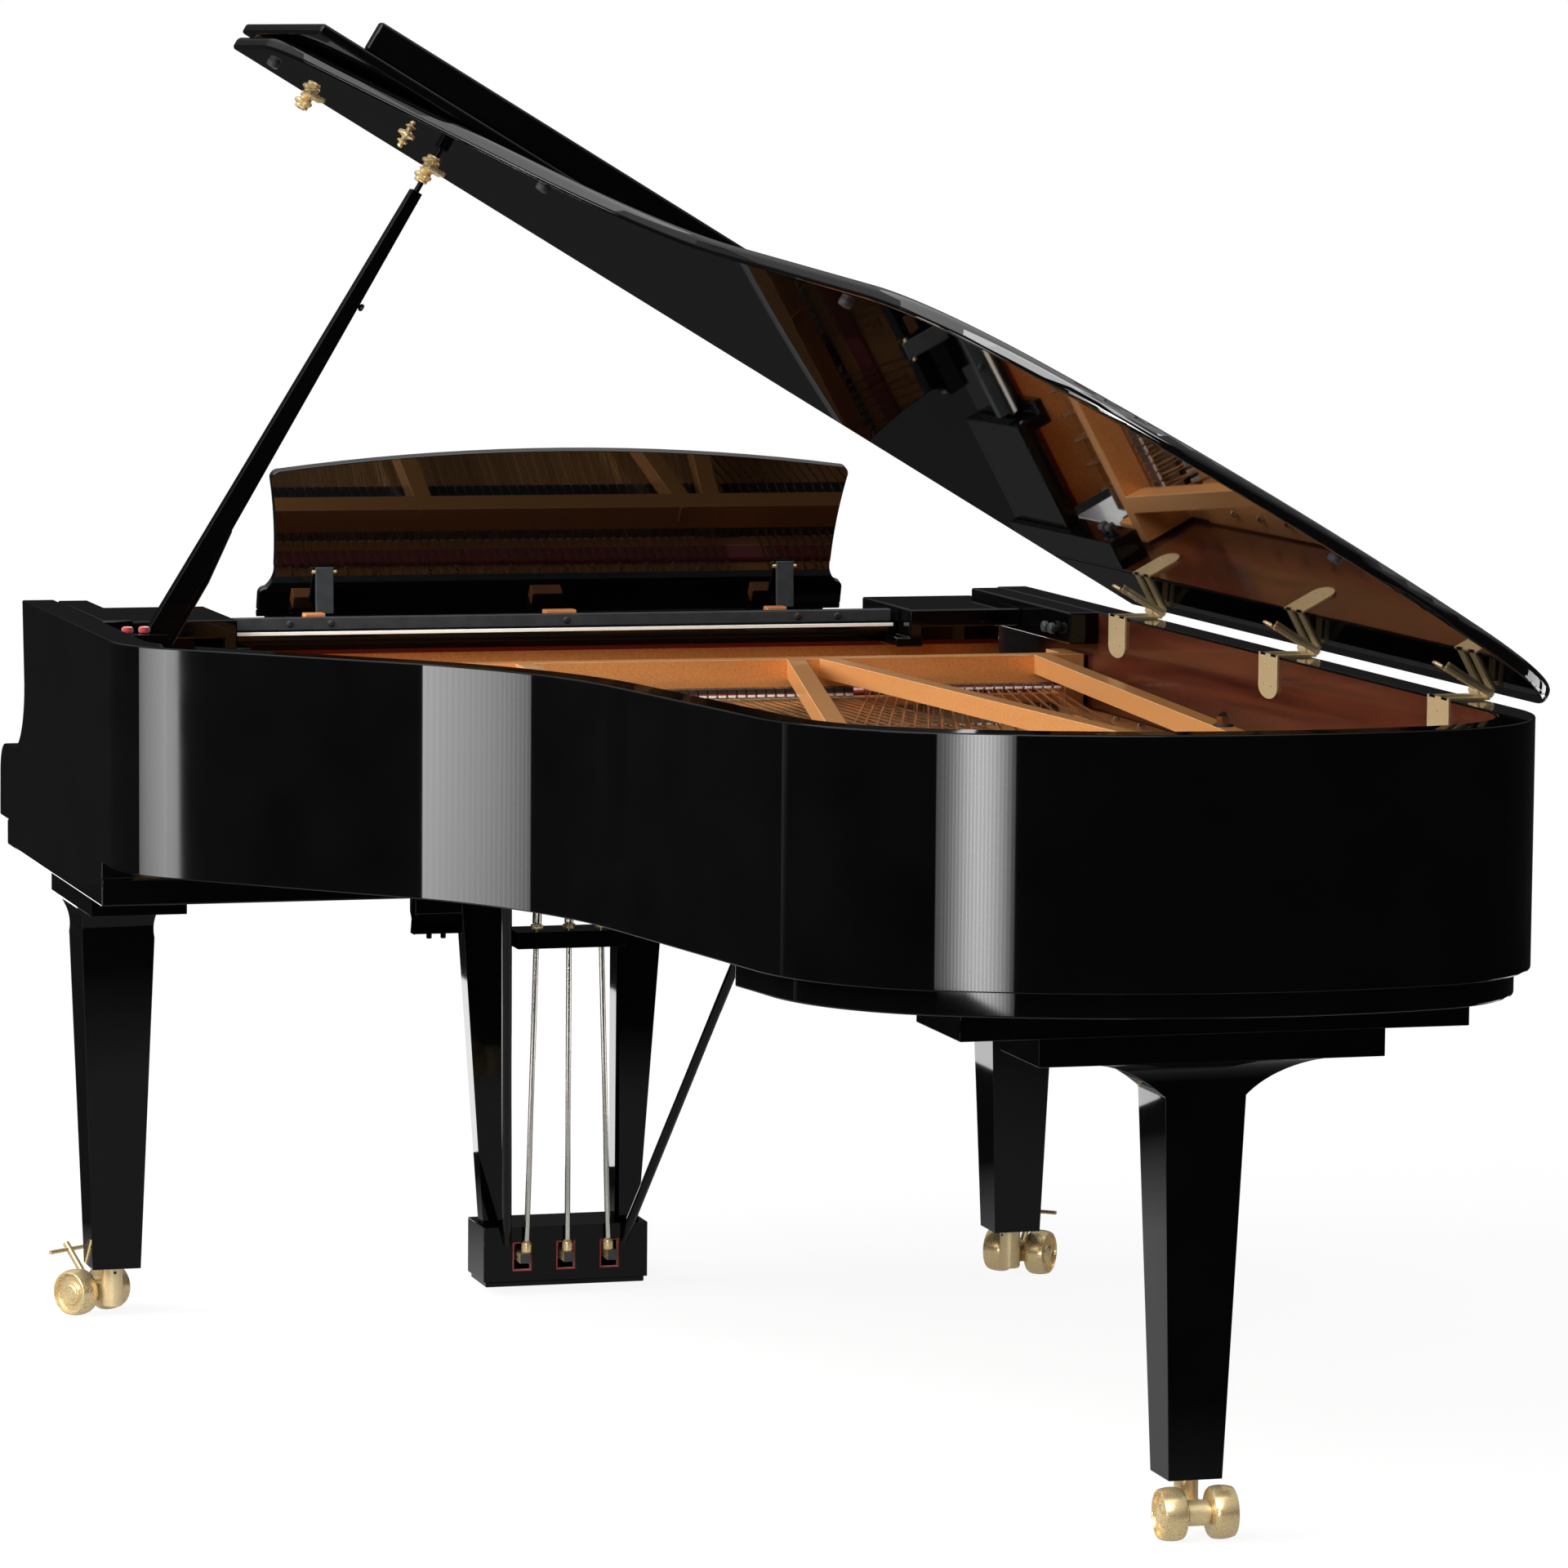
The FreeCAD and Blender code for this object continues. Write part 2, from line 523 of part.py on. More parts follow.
# Keyboard: slip, blocks, frame and eighty-eight keys
def key_layout():
    """Each key's middle and whether it is black, from the lowest note up, and a white key's width."""
    octave = len(OCTAVE_SHARES)
    whites = [n for n in range(NOTES) if not OCTAVE_SHARES[n % octave][0]]
    width = 2 * KEY_HALF / len(whites)
    seen, keys = 0, []
    for note in range(NOTES):
        black, shift = OCTAVE_SHARES[note % octave]
        if black:
            keys.append(((seen + shift) * width - KEY_HALF, True))
        else:
            keys.append((seen * width + width / 2 - KEY_HALF, False))
            seen += 1
    return keys, width


KEYS, white_width = key_layout()
naturals, sharps = [], []
for note, (middle, black) in enumerate(KEYS):
    if black:
        outline = [(s.black_front, s.key_low), (s.black_front + s.black_slope, s.black_high),
                   (s.black_rear, s.black_high), (s.black_rear, s.white_high),
                   (s.key_rear, s.white_high), (s.key_rear, s.key_low)]
        half = s.black_width / 2
        sharps.append(prism([point(middle - half, b, z) for b, z in outline], ACROSS * s.black_width))
        continue
    half = (white_width - s.key_gap) / 2
    low, high = middle - half, middle + half
    slim_low, slim_high = low, high
    room = s.black_width / 2 + s.key_gap
    if note > 0 and KEYS[note - 1][1]:
        slim_low = KEYS[note - 1][0] + room
    if note < NOTES - 1 and KEYS[note + 1][1]:
        slim_high = KEYS[note + 1][0] - room
    head = s.white_front + s.white_head
    outline = [(low, s.white_front), (high, s.white_front), (high, head), (slim_high, head),
               (slim_high, s.key_rear), (slim_low, s.key_rear), (slim_low, head), (low, head)]
    outline = [p for p, q in zip(outline, outline[1:] + outline[:1]) if p != q]
    naturals.append(prism([point(a, b, s.key_low) for a, b in outline], UP * (s.white_high - s.key_low)))
feature("white_keys", Part.makeCompound(naturals))
feature("black_keys", Part.makeCompound(sharps))
frame = [
    board((-KEY_HALF, KEY_HALF), (s.frame_front, s.frame_rear), (s.keybed_high, s.frame_high)),
    board((-KEY_HALF, KEY_HALF), (s.balance_back - s.balance_half, s.balance_back + s.balance_half),
          (s.frame_high, s.balance_high)),
    board((-KEY_HALF, KEY_HALF), (s.balance_back - s.balance_ridge, s.balance_back + s.balance_ridge),
          (s.balance_high, s.key_low - s.damper_gap)),
    board((-KEY_HALF, KEY_HALF), (s.front_rail_back, s.front_rail_back + s.front_rail_length),
          (s.frame_high, s.front_rail_high)),
]
feature("key_frame", joined(frame))
fall_height = s.white_high + s.fall_rise
thick = s.fall_thickness / 2
cheek = [(s.block_front, s.keybed_high), (s.block_front, s.block_low_high),
         (s.block_step, s.block_low_high), (s.block_step, s.block_high),
         (s.block_rear, s.block_high), (s.block_rear, s.keybed_high)]
block_inner = KEY_HALF + s.key_gap * 2
cheek_block = prism([point(block_inner, b, z) for b, z in cheek],
                    ACROSS * (HALF - lining - block_inner))
pin_hole = rod(point(block_inner, s.fall_back, fall_height),
               point(block_inner + s.fall_pin_length + s.key_gap, s.fall_back, fall_height),
               s.fall_pin + s.running)
slip_half = RAIL_SIDE - s.balance_half
slip_room = board((block_inner, slip_half + s.seam), (0, s.slip_rear + s.seam),
                  (s.keybed_low, s.slip_high + s.seam))
key_slip = board((-slip_half, slip_half), (s.keybed_front, s.slip_rear), (s.keybed_high, s.slip_high))
cheeks = cheek_block.cut(pin_hole).cut(slip_room)
feature("key_blocks", Part.makeCompound([cheeks, mirrored(cheeks), key_slip]))
fall_end = [(s.fall_back - thick, fall_height - thick), (s.fall_back + thick, fall_height - thick),
            (s.fall_back + thick, fall_height + s.fall_reach),
            (s.fall_back - thick - s.fall_lip, fall_height + s.fall_reach),
            (s.fall_back - thick - s.fall_lip, fall_height + s.fall_reach - s.fall_lip),
            (s.fall_back - thick, fall_height + s.fall_reach - s.fall_lip)]
fall = prism([point(-KEY_HALF, b, z) for b, z in fall_end], ACROSS * (2 * KEY_HALF))
pivot = rod(point(-KEY_HALF - s.fall_pin_length, s.fall_back, fall_height),
            point(KEY_HALF + s.fall_pin_length, s.fall_back, fall_height), s.fall_pin)
feature("fallboard", joined([fall, pivot]))

# Action: hammers on their rail, dampers over the strings
bed = s.hammer_pivot_height - s.shank_thickness / 2
top = s.hammer_pivot_height + s.shank_thickness / 2
near = s.hammer_pivot_back + s.hammer_reach - s.hammer_head
far = s.hammer_pivot_back + s.hammer_reach
inset = s.hammer_head * HAMMER_BEVEL_SHARE
hammer_side = [(s.action_rail_rear + s.heel_gap, bed), (near, bed),
               (near, bed - inset), (far, bed - inset),
               (far, top + inset * 2), (far - inset, s.hammer_pivot_height + s.hammer_tip),
               (near + inset, s.hammer_pivot_height + s.hammer_tip), (near, top + inset * 2),
               (near, top), (s.action_rail_rear + s.heel_gap, top)]
white_hammers, black_hammers = [], []
for note, (_, black) in enumerate(KEYS):
    left = note_side(note) - s.hammer_width / 2
    hammer = prism([point(left, b, z) for b, z in hammer_side], ACROSS * s.hammer_width)
    (black_hammers if black else white_hammers).append(hammer)
feature("white_hammers", Part.makeCompound(white_hammers))
feature("black_hammers", Part.makeCompound(black_hammers))
action_half = STRING_HALF + s.break_gap + s.bracket_width
action = [board((-action_half, action_half), (s.action_rail_front, s.action_rail_rear),
                (s.action_rail_low, s.action_rail_high))]
for share in ACTION_BRACKET_SHARES:
    left = share * (action_half - s.bracket_width / 2) - s.bracket_width / 2
    action.append(board((left, left + s.bracket_width), (s.action_rail_front, s.action_rail_rear),
                        (s.keybed_high, s.action_rail_low)))
feature("action_frame", joined(action))
dampers = []
pitch = 2 * STRING_HALF / (NOTES - 1)
middle = s.damper_back + s.damper_length / 2
for note, (rest, landing, width) in enumerate(string_lines):
    if note >= DAMPED_NOTES:
        break
    way = landing - rest
    side = rest.x + way.x * (middle - s.agraffe_back) / way.y
    slope = (s.damper_back + s.damper_length - s.agraffe_back) / way.y
    low = rest.z + way.z * slope + width + s.damper_gap
    head = board((side - s.damper_width / 2, side + pitch / 2 + s.wire_width / 2),
                 (s.damper_back, s.damper_back + s.damper_length), (low, s.damper_high))
    stem = board((side + pitch / 2 - s.wire_width / 2, side + pitch / 2 + s.wire_width / 2),
                 (middle - s.wire_width / 2, middle + s.wire_width / 2), (s.wire_low, low))
    dampers.append(joined([head, stem]))
feature("dampers", Part.makeCompound(dampers))

# Music desk on its sliding tray
tray = board((-s.tray_half, s.tray_half), (s.tray_front, s.tray_rear), (s.tray_low, s.tray_high))
block("desk_bar", ("-bar_half", "bar_half"), ("bar_front", "bar_rear"), ("tray_high", "bar_high"))
music_ledge = board((-s.desk_neck_half, s.desk_neck_half), (s.ledge_front, s.ledge_rear),
                    (s.tray_high, s.ledge_high))
hinge_rod = rod(point(-s.desk_foot_half, s.desk_back, s.desk_axis),
                point(s.desk_foot_half, s.desk_back, s.desk_axis), s.desk_hinge)
lugs = [board((side - s.lug_width / 2, side + s.lug_width / 2),
              (s.desk_back - s.desk_hinge, s.desk_back + s.desk_hinge), (s.tray_high, s.desk_axis))
        for side in (-s.strut_side, 0, s.strut_side)]
feature("desk_tray", joined([tray, music_ledge, hinge_rod] + lugs))
rests = [board((side - s.rest_block_width / 2, side + s.rest_block_width / 2),
               (s.rest_block_front, s.rest_block_rear), (s.tray_high, s.rest_block_high))
         for side in (-s.strut_side, 0, s.strut_side)]
feature("desk_rests", Part.makeCompound(rests))
leaning = Placement(point(0, s.desk_back, s.desk_axis), Rotation(ACROSS, 90 - s.desk_lean))


def desk_face():
    """The desk's outline in its own plane: a foot, hollow sides and an arched top."""
    def at(side, height):
        return Vector(side, height, -s.desk_thickness / 2)

    low = s.desk_hinge + s.seam
    foot_high = s.desk_foot_high + s.desk_foot_round
    foot_side = s.desk_foot_half - s.desk_foot_round
    top_high = s.desk_shoulder_high + s.desk_round
    middle = (s.desk_neck_high + s.desk_shoulder_high) / 2
    hollow = (s.desk_neck_half + s.desk_top_half) / 2 - s.desk_sweep
    edges = []
    for turn in (1, -1):
        foot, toe = at(turn * s.desk_foot_half, low), at(turn * s.desk_foot_half, s.desk_foot_high)
        step, neck = at(turn * foot_side, foot_high), at(turn * s.desk_neck_half, s.desk_neck_high)
        shoulder = at(turn * s.desk_top_half, s.desk_shoulder_high)
        corner = at(turn * (s.desk_top_half - s.desk_round), top_high)
        edges += [
            Part.makeLine(foot, toe),
            quarter(toe, step, at(turn * s.desk_foot_half, foot_high)),
            quarter(step, neck, at(turn * s.desk_neck_half, foot_high)),
            Part.Arc(neck, at(turn * hollow, middle), shoulder).toShape(),
            quarter(shoulder, corner, at(turn * s.desk_top_half, top_high)),
        ]
    top_side = s.desk_top_half - s.desk_round
    edges.append(Part.Arc(at(top_side, top_high), at(0, s.desk_high), at(-top_side, top_high)).toShape())
    edges.append(Part.makeLine(at(-s.desk_foot_half, low), at(s.desk_foot_half, low)))
    return Part.Face(Part.Wire(Part.__sortEdges__(edges)))


feature("music_desk", desk_face().extrude(UP * s.desk_thickness), leaning)
arm_foot = Vector(0, s.desk_arm_high, -s.desk_thickness / 2 - s.seam)
arm_turn = Placement(arm_foot, Rotation(ACROSS, s.desk_arm_fold))
arm = Part.makeBox(s.desk_arm_width, s.desk_arm_length, s.desk_arm_thickness,
                   Vector(s.strut_side - s.desk_arm_width / 2, -s.desk_arm_length, -s.desk_arm_thickness))
arm.Placement = leaning.multiply(arm_turn)
feature("desk_arms", both(arm))

# Lid, flap and prop, drawn closed and then swung open about the hinge line
HINGE = Vector(-HINGE_SIDE, 0, s.lid_low)
OPENED = Placement(Vector(), Rotation(ALONG, -s.lid_open), HINGE)
lid_top = s.lid_low + s.lid_thickness
lid = slab(-s.lid_overhang, s.fold_back + s.fold_gap, s.lid_low, lid_top)
spine = board((-s.case_width, -LID_EDGE), (0, 2 * s.case_length), (0, 2 * s.lid_low))
lid = lid.cut(spine)


def bent_edges(shape, height):
    """The edges of a lid at one height, without those along its fold and its hinges."""
    fold = point(0, s.fold_back + s.fold_gap).y
    return [e for e in shape.Edges
            if abs(e.BoundBox.ZMin - height) < s.seam and abs(e.BoundBox.ZMax - height) < s.seam
            and e.BoundBox.YMax > fold + s.seam and e.BoundBox.XMax > -LID_EDGE + s.seam]


lid = lid.makeFillet(s.lid_round, bent_edges(lid, lid_top))
lid = lid.makeFillet(s.lid_soft_edge, bent_edges(lid, s.lid_low))
feature("lid_main", lid, OPENED)
lid_side = (-LID_EDGE, HALF + s.lid_overhang)
flap_low = lid_top + s.flap_gap
flap_high = flap_low + s.flap_thickness
flap_back = (s.fold_back + s.fold_gap, s.fold_back + s.fold_gap + s.flap_length)
feature("lid_flap", board(lid_side, flap_back, (flap_low, flap_high)), OPENED)
nosing_rear = flap_back[1] - s.nosing_setback
feature("flap_nosing", board((lid_side[0] + s.nosing_inset, lid_side[1] - s.nosing_inset),
                             (nosing_rear - s.nosing_thickness, nosing_rear),
                             (flap_high, flap_high + s.nosing_height)), OPENED)
fold_axis = lid_top + s.flap_gap / 2
leaf_back = (s.fold_back + s.flap_knuckle * 2, s.fold_back + s.leaf_width)
leaf_side = (lid_side[0] + s.leaf_width, lid_side[1] - s.leaf_width)
step = (leaf_side[1] - leaf_side[0]) / KNUCKLES
lid_leaf, flap_leaf = [], []
for number in range(KNUCKLES):
    low = leaf_side[0] + step * number + s.knuckle_gap
    high = leaf_side[0] + step * (number + 1) - s.knuckle_gap
    start, end = point(low, s.fold_back, fold_axis), point(high, s.fold_back, fold_axis)
    bore = rod(start - ACROSS * s.overrun, end + ACROSS * s.overrun, s.flap_pin + s.running)
    barrel = rod(start, end, s.flap_knuckle).cut(bore)
    on_lid = number % 2 == 0
    height = (lid_top, lid_top + s.leaf_thickness)
    if not on_lid:
        height = (flap_low - s.leaf_thickness, flap_low)
    tongue = board((low, high), (s.fold_back, leaf_back[1]), height)
    tongue = tongue.cut(rod(start, end, s.flap_knuckle - s.seam))
    (lid_leaf if on_lid else flap_leaf).append(joined([barrel, tongue]))
fold_pin = rod(point(leaf_side[0], s.fold_back, fold_axis),
               point(leaf_side[1], s.fold_back, fold_axis), s.flap_pin)
feature("flap_hinge_lid", Part.makeCompound(lid_leaf + [fold_pin]), OPENED)
feature("flap_hinge_flap", Part.makeCompound(flap_leaf), OPENED)
straps, lid_leaves, hinge_pins = [], [], []
axis_side = -HINGE_SIDE
inner_face = -HALF + lining + s.veneer
hinge_span = s.case_length - s.hinge_tail - s.hinge_first
for back in (s.hinge_first + share * hinge_span for share in HINGE_SHARES):
    def axis_at(shift, back=back):
        return point(axis_side, back + shift, s.lid_low)

    half = s.knuckle_length / 2
    reach = half + s.knuckle_length
    pin_bore = rod(axis_at(-2 * reach), axis_at(2 * reach), s.hinge_pin + s.running)
    ears = []
    for low, high in ((-reach, -half - s.knuckle_gap), (half + s.knuckle_gap, reach)):
        ears.append(rod(axis_at(low), axis_at(high), s.knuckle_radius))
        ears.append(board((axis_side, inner_face), (back + low, back + high),
                          (s.rim_top, s.rim_top + s.strap_thickness)))
    ears.append(board((inner_face, inner_face + s.strap_thickness), (back - reach, back + reach),
                      (s.rim_top - s.strap_width, s.rim_top + s.strap_thickness)))
    ears.append(board((inner_face, inner_face + s.strap_thickness),
                      (back - s.strap_width / 2, back + s.strap_width / 2),
                      (s.strap_low, s.rim_top)))
    over_rim = board((axis_side - s.case_width, inner_face), (back - reach, back + reach),
                     (s.strap_low, s.rim_top))
    straps.append(joined(ears).cut(pin_bore).cut(over_rim))
    leaf = [rod(axis_at(-half), axis_at(half), s.knuckle_radius),
            board((axis_side, axis_side + s.lever_length), (back - half, back + half),
                  (s.lid_low - s.leaf_thickness, s.lid_low))]
    lid_leaves.append(joined(leaf).cut(pin_bore))
    lever_back = reach + s.lever_thickness
    lever = board((axis_side, axis_side + s.lever_length),
                  (back + reach + s.seam, back + lever_back + s.seam),
                  (s.lid_low - s.lever_thickness, s.lid_low - s.seam))
    hinge_pins.append(joined([rod(axis_at(-reach), axis_at(lever_back), s.hinge_pin), lever]))
feature("hinge_straps", Part.makeCompound(straps))
feature("hinge_leaves", Part.makeCompound(lid_leaves + hinge_pins), OPENED)
bumpers = [rod(point(a * HALF, b * s.case_length, s.lid_low - s.bumper_height),
               point(a * HALF, b * s.case_length, s.lid_low), s.bumper_radius) for a, b in BUMPER_SHARES]
feature("lid_bumpers", Part.makeCompound(bumpers), OPENED)
lean = math.radians(s.lid_open)
along_lid = Vector(math.cos(lean), 0, math.sin(lean))
square = Vector(math.sin(lean), 0, -math.cos(lean))
foot_at = point(HALF - s.prop_inset, s.cup_back, s.prop_height)
prop_length = (foot_at - HINGE).dot(square)
cup_long = (foot_at - HINGE).dot(along_lid) - HINGE_SIDE
cups = []
for side in (cup_long, cup_long + s.cup_step):
    mouth = point(side, s.cup_back, s.lid_low - s.cup_depth)
    floor = point(side, s.cup_back, s.lid_low)
    wall = rod(mouth, floor, s.cup_radius).cut(rod(mouth, floor, s.cup_radius - s.cup_wall))
    open_side = board((side - s.case_width, side), (0, s.case_length), (0, 2 * s.lid_low))
    roof = board((side - s.prop_pin + s.key_gap, side + s.cup_radius),
                 (s.cup_back - s.cup_radius, s.fold_back), (s.lid_low - s.cup_plate, s.lid_low))
    tongue = board((side - s.cup_radius, side + s.cup_radius),
                   (s.fold_back + s.fold_gap, s.fold_back + s.cup_tongue),
                   (s.lid_low - s.cup_plate, s.lid_low))
    link = board((side, side + s.cup_radius), (s.cup_back, s.fold_back + s.cup_tongue),
                 (s.lid_low - s.cup_plate, s.lid_low))
    cups.append(joined([wall.cut(open_side), roof, tongue, link]))
knob = point(s.catch_side, s.catch_back, s.lid_low)
cups.append(joined([rod(knob - UP * s.cup_depth, knob, s.prop_pin),
                    rod(knob - UP * s.cup_plate, knob, s.cup_radius)]))
feature("prop_cups", Part.makeCompound(cups), OPENED)

up_prop = Placement(foot_at, Rotation(ALONG, -s.lid_open))
stick_end = prop_length - s.prop_gap - s.prop_pin_length
deep = ALONG * s.prop_thickness
eye = Vector(0, -s.prop_thickness / 2, 0)
stick = prism([Vector(-s.prop_foot, eye.y, 0), Vector(s.prop_foot, eye.y, 0),
               Vector(s.prop_top, eye.y, stick_end), Vector(-s.prop_top, eye.y, stick_end)], deep)
tip = rod(Vector(0, 0, stick_end), Vector(0, 0, stick_end + s.prop_pin_length), s.prop_pin)
stick = joined([stick, rod(eye, eye + deep, s.prop_foot), tip])
feature("lid_prop", stick.cut(rod(eye - deep, eye + deep * 2, s.prop_axle + s.running)), up_prop)
bracket_front = s.cup_back + s.prop_thickness / 2 + s.key_gap
bracket = [board((HALF - s.bracket_inset, HALF - lining - s.veneer),
                 (bracket_front, bracket_front + s.bracket_length), (s.bracket_low, s.bracket_high))]
pin_front = s.cup_back - s.prop_thickness / 2 - s.pin_stand_out
bracket.append(rod(point(foot_at.x, pin_front, s.prop_height),
                   point(foot_at.x, bracket_front + s.key_gap, s.prop_height), s.prop_axle))
feature("prop_bracket", joined(bracket))


# Legs with their plates, and twin-wheel casters
def flared(half_top, half_low, depth_top, depth_low, low, high):
    """A capital whose sides curve out from a leg's top to a plate."""
    def hollow_side(top_low, low_low, top_high, low_high, across):
        def at(offset, height):
            return across * offset + UP * height
        edges = [
            Part.makeLine(at(-low_low, low), at(low_high, low)),
            quarter(at(low_high, low), at(top_high, high), at(low_high, high)),
            Part.makeLine(at(top_high, high), at(-top_low, high)),
            quarter(at(-top_low, high), at(-low_low, low), at(-low_low, high)),
        ]
        return Part.Face(Part.Wire(edges))

    reach = s.case_width
    one = hollow_side(half_top, half_low, half_top, half_low, ACROSS)
    one.translate(ALONG * -reach)
    two = hollow_side(depth_top[0], depth_low, depth_top[1], depth_low, ALONG)
    two.translate(ACROSS * -reach)
    return one.extrude(ALONG * 2 * reach).common(two.extrude(ACROSS * 2 * reach))


def taper(top, low):
    """The square tapered post of a leg, with the bore for its caster's stem."""
    squares = []
    for half, height in ((low / 2, s.leg_low), (top / 2, s.leg_top)):
        ends = [Vector(a * half, b * half, height) for a, b in ((-1, -1), (1, -1), (1, 1), (-1, 1))]
        squares.append(Part.makePolygon(ends + ends[:1]))
    post = Part.makeLoft(squares, True)
    return post.cut(rod(UP * (s.leg_low - s.overrun), UP * (s.stem_high + s.overrun),
                        s.stem_radius + s.running))


half_leg = s.leg_top_width / 2
front_post = [
    taper(s.leg_top_width, s.leg_low_width),
    flared(half_leg + s.cap_flare, half_leg, (s.leg_plate_front, half_leg + s.cap_flare), half_leg,
           s.leg_top, s.leg_plate_low),
    Part.makeBox(2 * s.leg_plate_half, s.leg_plate_front + s.leg_plate_rear,
                 s.keybed_low - s.leg_plate_low,
                 Vector(-s.leg_plate_half, -s.leg_plate_front, s.leg_plate_low)),
]
tail_post = [
    taper(s.leg_top_width, s.leg_low_width),
    flared(s.tail_cap_half, half_leg, (s.tail_cap_depth, s.tail_cap_depth), half_leg,
           s.leg_top, s.tail_cap_low),
    Part.makeBox(2 * s.tail_cap_half, 2 * s.tail_cap_depth, s.tail_plate_low - s.tail_cap_low,
                 Vector(-s.tail_cap_half, -s.tail_cap_depth, s.tail_cap_low)),
    Part.makeBox(2 * s.tail_plate_half, 2 * s.tail_plate_depth, s.tail_board_low - s.tail_plate_low,
                 Vector(-s.tail_plate_half, -s.tail_plate_depth, s.tail_plate_low)),
]
FEET = {
    "treble": (HALF - s.leg_inset, s.leg_back, s.heading_treble, front_post),
    "bass": (s.leg_inset - HALF, s.leg_back, s.heading_bass, front_post),
    "tail": (s.tail_leg_inset - HALF, s.case_length - s.tail_leg_drop, s.heading_tail, tail_post),
}
axle_at = Vector(s.trail, 0, s.wheel_radius)
axle_half = ALONG * (s.wheel_inner + s.wheel_width)
barrel_half = ALONG * (s.wheel_inner - s.wheel_gap)
plain_fork = joined([
    rod(UP * s.housing_low, UP * s.housing_high, s.housing_radius),
    rod(UP * s.housing_high, UP * s.stem_high, s.stem_radius),
    Part.makeBox(s.trail, 2 * s.fork_web, 2 * s.fork_web,
                 Vector(0, -s.fork_web, s.wheel_radius - s.fork_web)),
    rod(axle_at - barrel_half, axle_at + barrel_half, s.barrel_radius),
    rod(axle_at - axle_half, axle_at + axle_half, s.axle_radius),
])
rise = math.radians(s.brake_rise)
brake_way = Vector(math.cos(rise), 0, math.sin(rise))
brake_fork = plain_fork.cut(rod(axle_at + brake_way * (s.brake_root - s.overrun),
                                axle_at + brake_way * s.brake_length, s.brake_radius + s.running))
bar_at = axle_at + brake_way * s.brake_bar_at
bar_half = ALONG * (s.brake_bar / 2)
brake = joined([rod(axle_at + brake_way * s.brake_root, axle_at + brake_way * s.brake_length, s.brake_radius),
                rod(bar_at - bar_half, bar_at + bar_half, s.brake_bar_radius)])
wheel_outer = "wheel_inner + wheel_width"
wheel_outline = [
    ("axle_radius + running", "wheel_inner"), ("wheel_radius - wheel_edge", "wheel_inner"),
    ("wheel_radius", "wheel_inner + wheel_edge"), ("wheel_radius", f"{wheel_outer} - wheel_edge * 2"),
    ("wheel_radius - wheel_edge", wheel_outer), ("wheel_radius - tread", wheel_outer),
    ("wheel_radius - tread", f"{wheel_outer} - rim_recess"),
    ("hub_radius", f"{wheel_outer} - rim_recess"), ("hub_radius", wheel_outer),
    ("axle_radius + running", wheel_outer),
]
for name, (side, back, heading, post) in FEET.items():
    here = point(side, back)
    leg = joined(post)
    feature(f"leg_{name}", leg, Placement(here, Rotation()))
    turned = Placement(here, Rotation(UP, heading))
    feature(f"caster_fork_{name}", plain_fork if name == "tail" else brake_fork, turned)
    body = doc.addObject("PartDesign::Body", f"wheel_{name}")
    turn = body.newObject("PartDesign::Revolution", f"wheel_{name}_turn")
    profile = outline_sketch(body, "XY_Plane", wheel_outline)
    turn.Profile = profile
    turn.ReferenceAxis = (profile, ["V_Axis"])
    turn.Angle = 360
    body.Tip = turn
    doc.recompute()
    pair = [body.Shape.copy(), body.Shape.mirror(Vector(), ALONG)]
    spun = turned.multiply(Placement(axle_at, Rotation()))
    feature(f"caster_wheels_{name}", Part.makeCompound(pair), spun)
    if name != "tail":
        feature(f"caster_brake_{name}", brake, turned)

# Lyre, pedals and rods
half_depth = s.lyre_top_depth / 2
lyre_top = board((-s.lyre_top_half, s.lyre_top_half), (s.lyre_back - half_depth, s.lyre_back + half_depth),
                 (s.lyre_top_low, s.keybed_low))
pillar_ends = []
for outer, depth, height in ((s.pillar_low_outer, s.pillar_low_depth, s.box_high),
                             (s.pillar_top_outer, s.pillar_top_depth, s.lyre_top_low)):
    ends = [point(a, s.lyre_back + b * depth / 2, height)
            for a, b in ((s.pillar_inner, -1), (outer, -1), (outer, 1), (s.pillar_inner, 1))]
    pillar_ends.append(Part.makePolygon(ends + ends[:1]))
pillar = Part.makeLoft(pillar_ends, True)
shell = board((-s.box_half, s.box_half), (s.box_front, s.box_rear), (s.box_low, s.box_high))
shell = shell.cut(board((-s.box_half + s.box_wall, s.box_half - s.box_wall),
                        (s.box_front + s.box_wall, s.box_rear - s.box_wall),
                        (s.box_low + s.box_wall, s.box_high - s.box_wall)))
PEDALS = {"soft": -s.pedal_spread, "sustain": 0.0, "damper": s.pedal_spread}
half_thick = s.pedal_thickness / 2
for side in PEDALS.values():
    slot_half = s.pedal_neck + s.slot_room / 2
    slot_height = (s.pedal_axis - half_thick - s.slot_room, s.pedal_axis + half_thick + s.slot_room)
    shell = shell.cut(board((side - slot_half, side + slot_half), (0, s.case_length), slot_height))
axle = rod(point(-s.box_half + s.box_wall, s.pedal_axis_back, s.pedal_axis),
           point(s.box_half - s.box_wall, s.pedal_axis_back, s.pedal_axis), s.pedal_axle)
feature("lyre_box", Part.makeCompound([shell, axle]))
guide = board((-s.pillar_inner, s.pillar_inner), (s.lyre_back, s.guide_rear), (s.guide_low, s.guide_high))
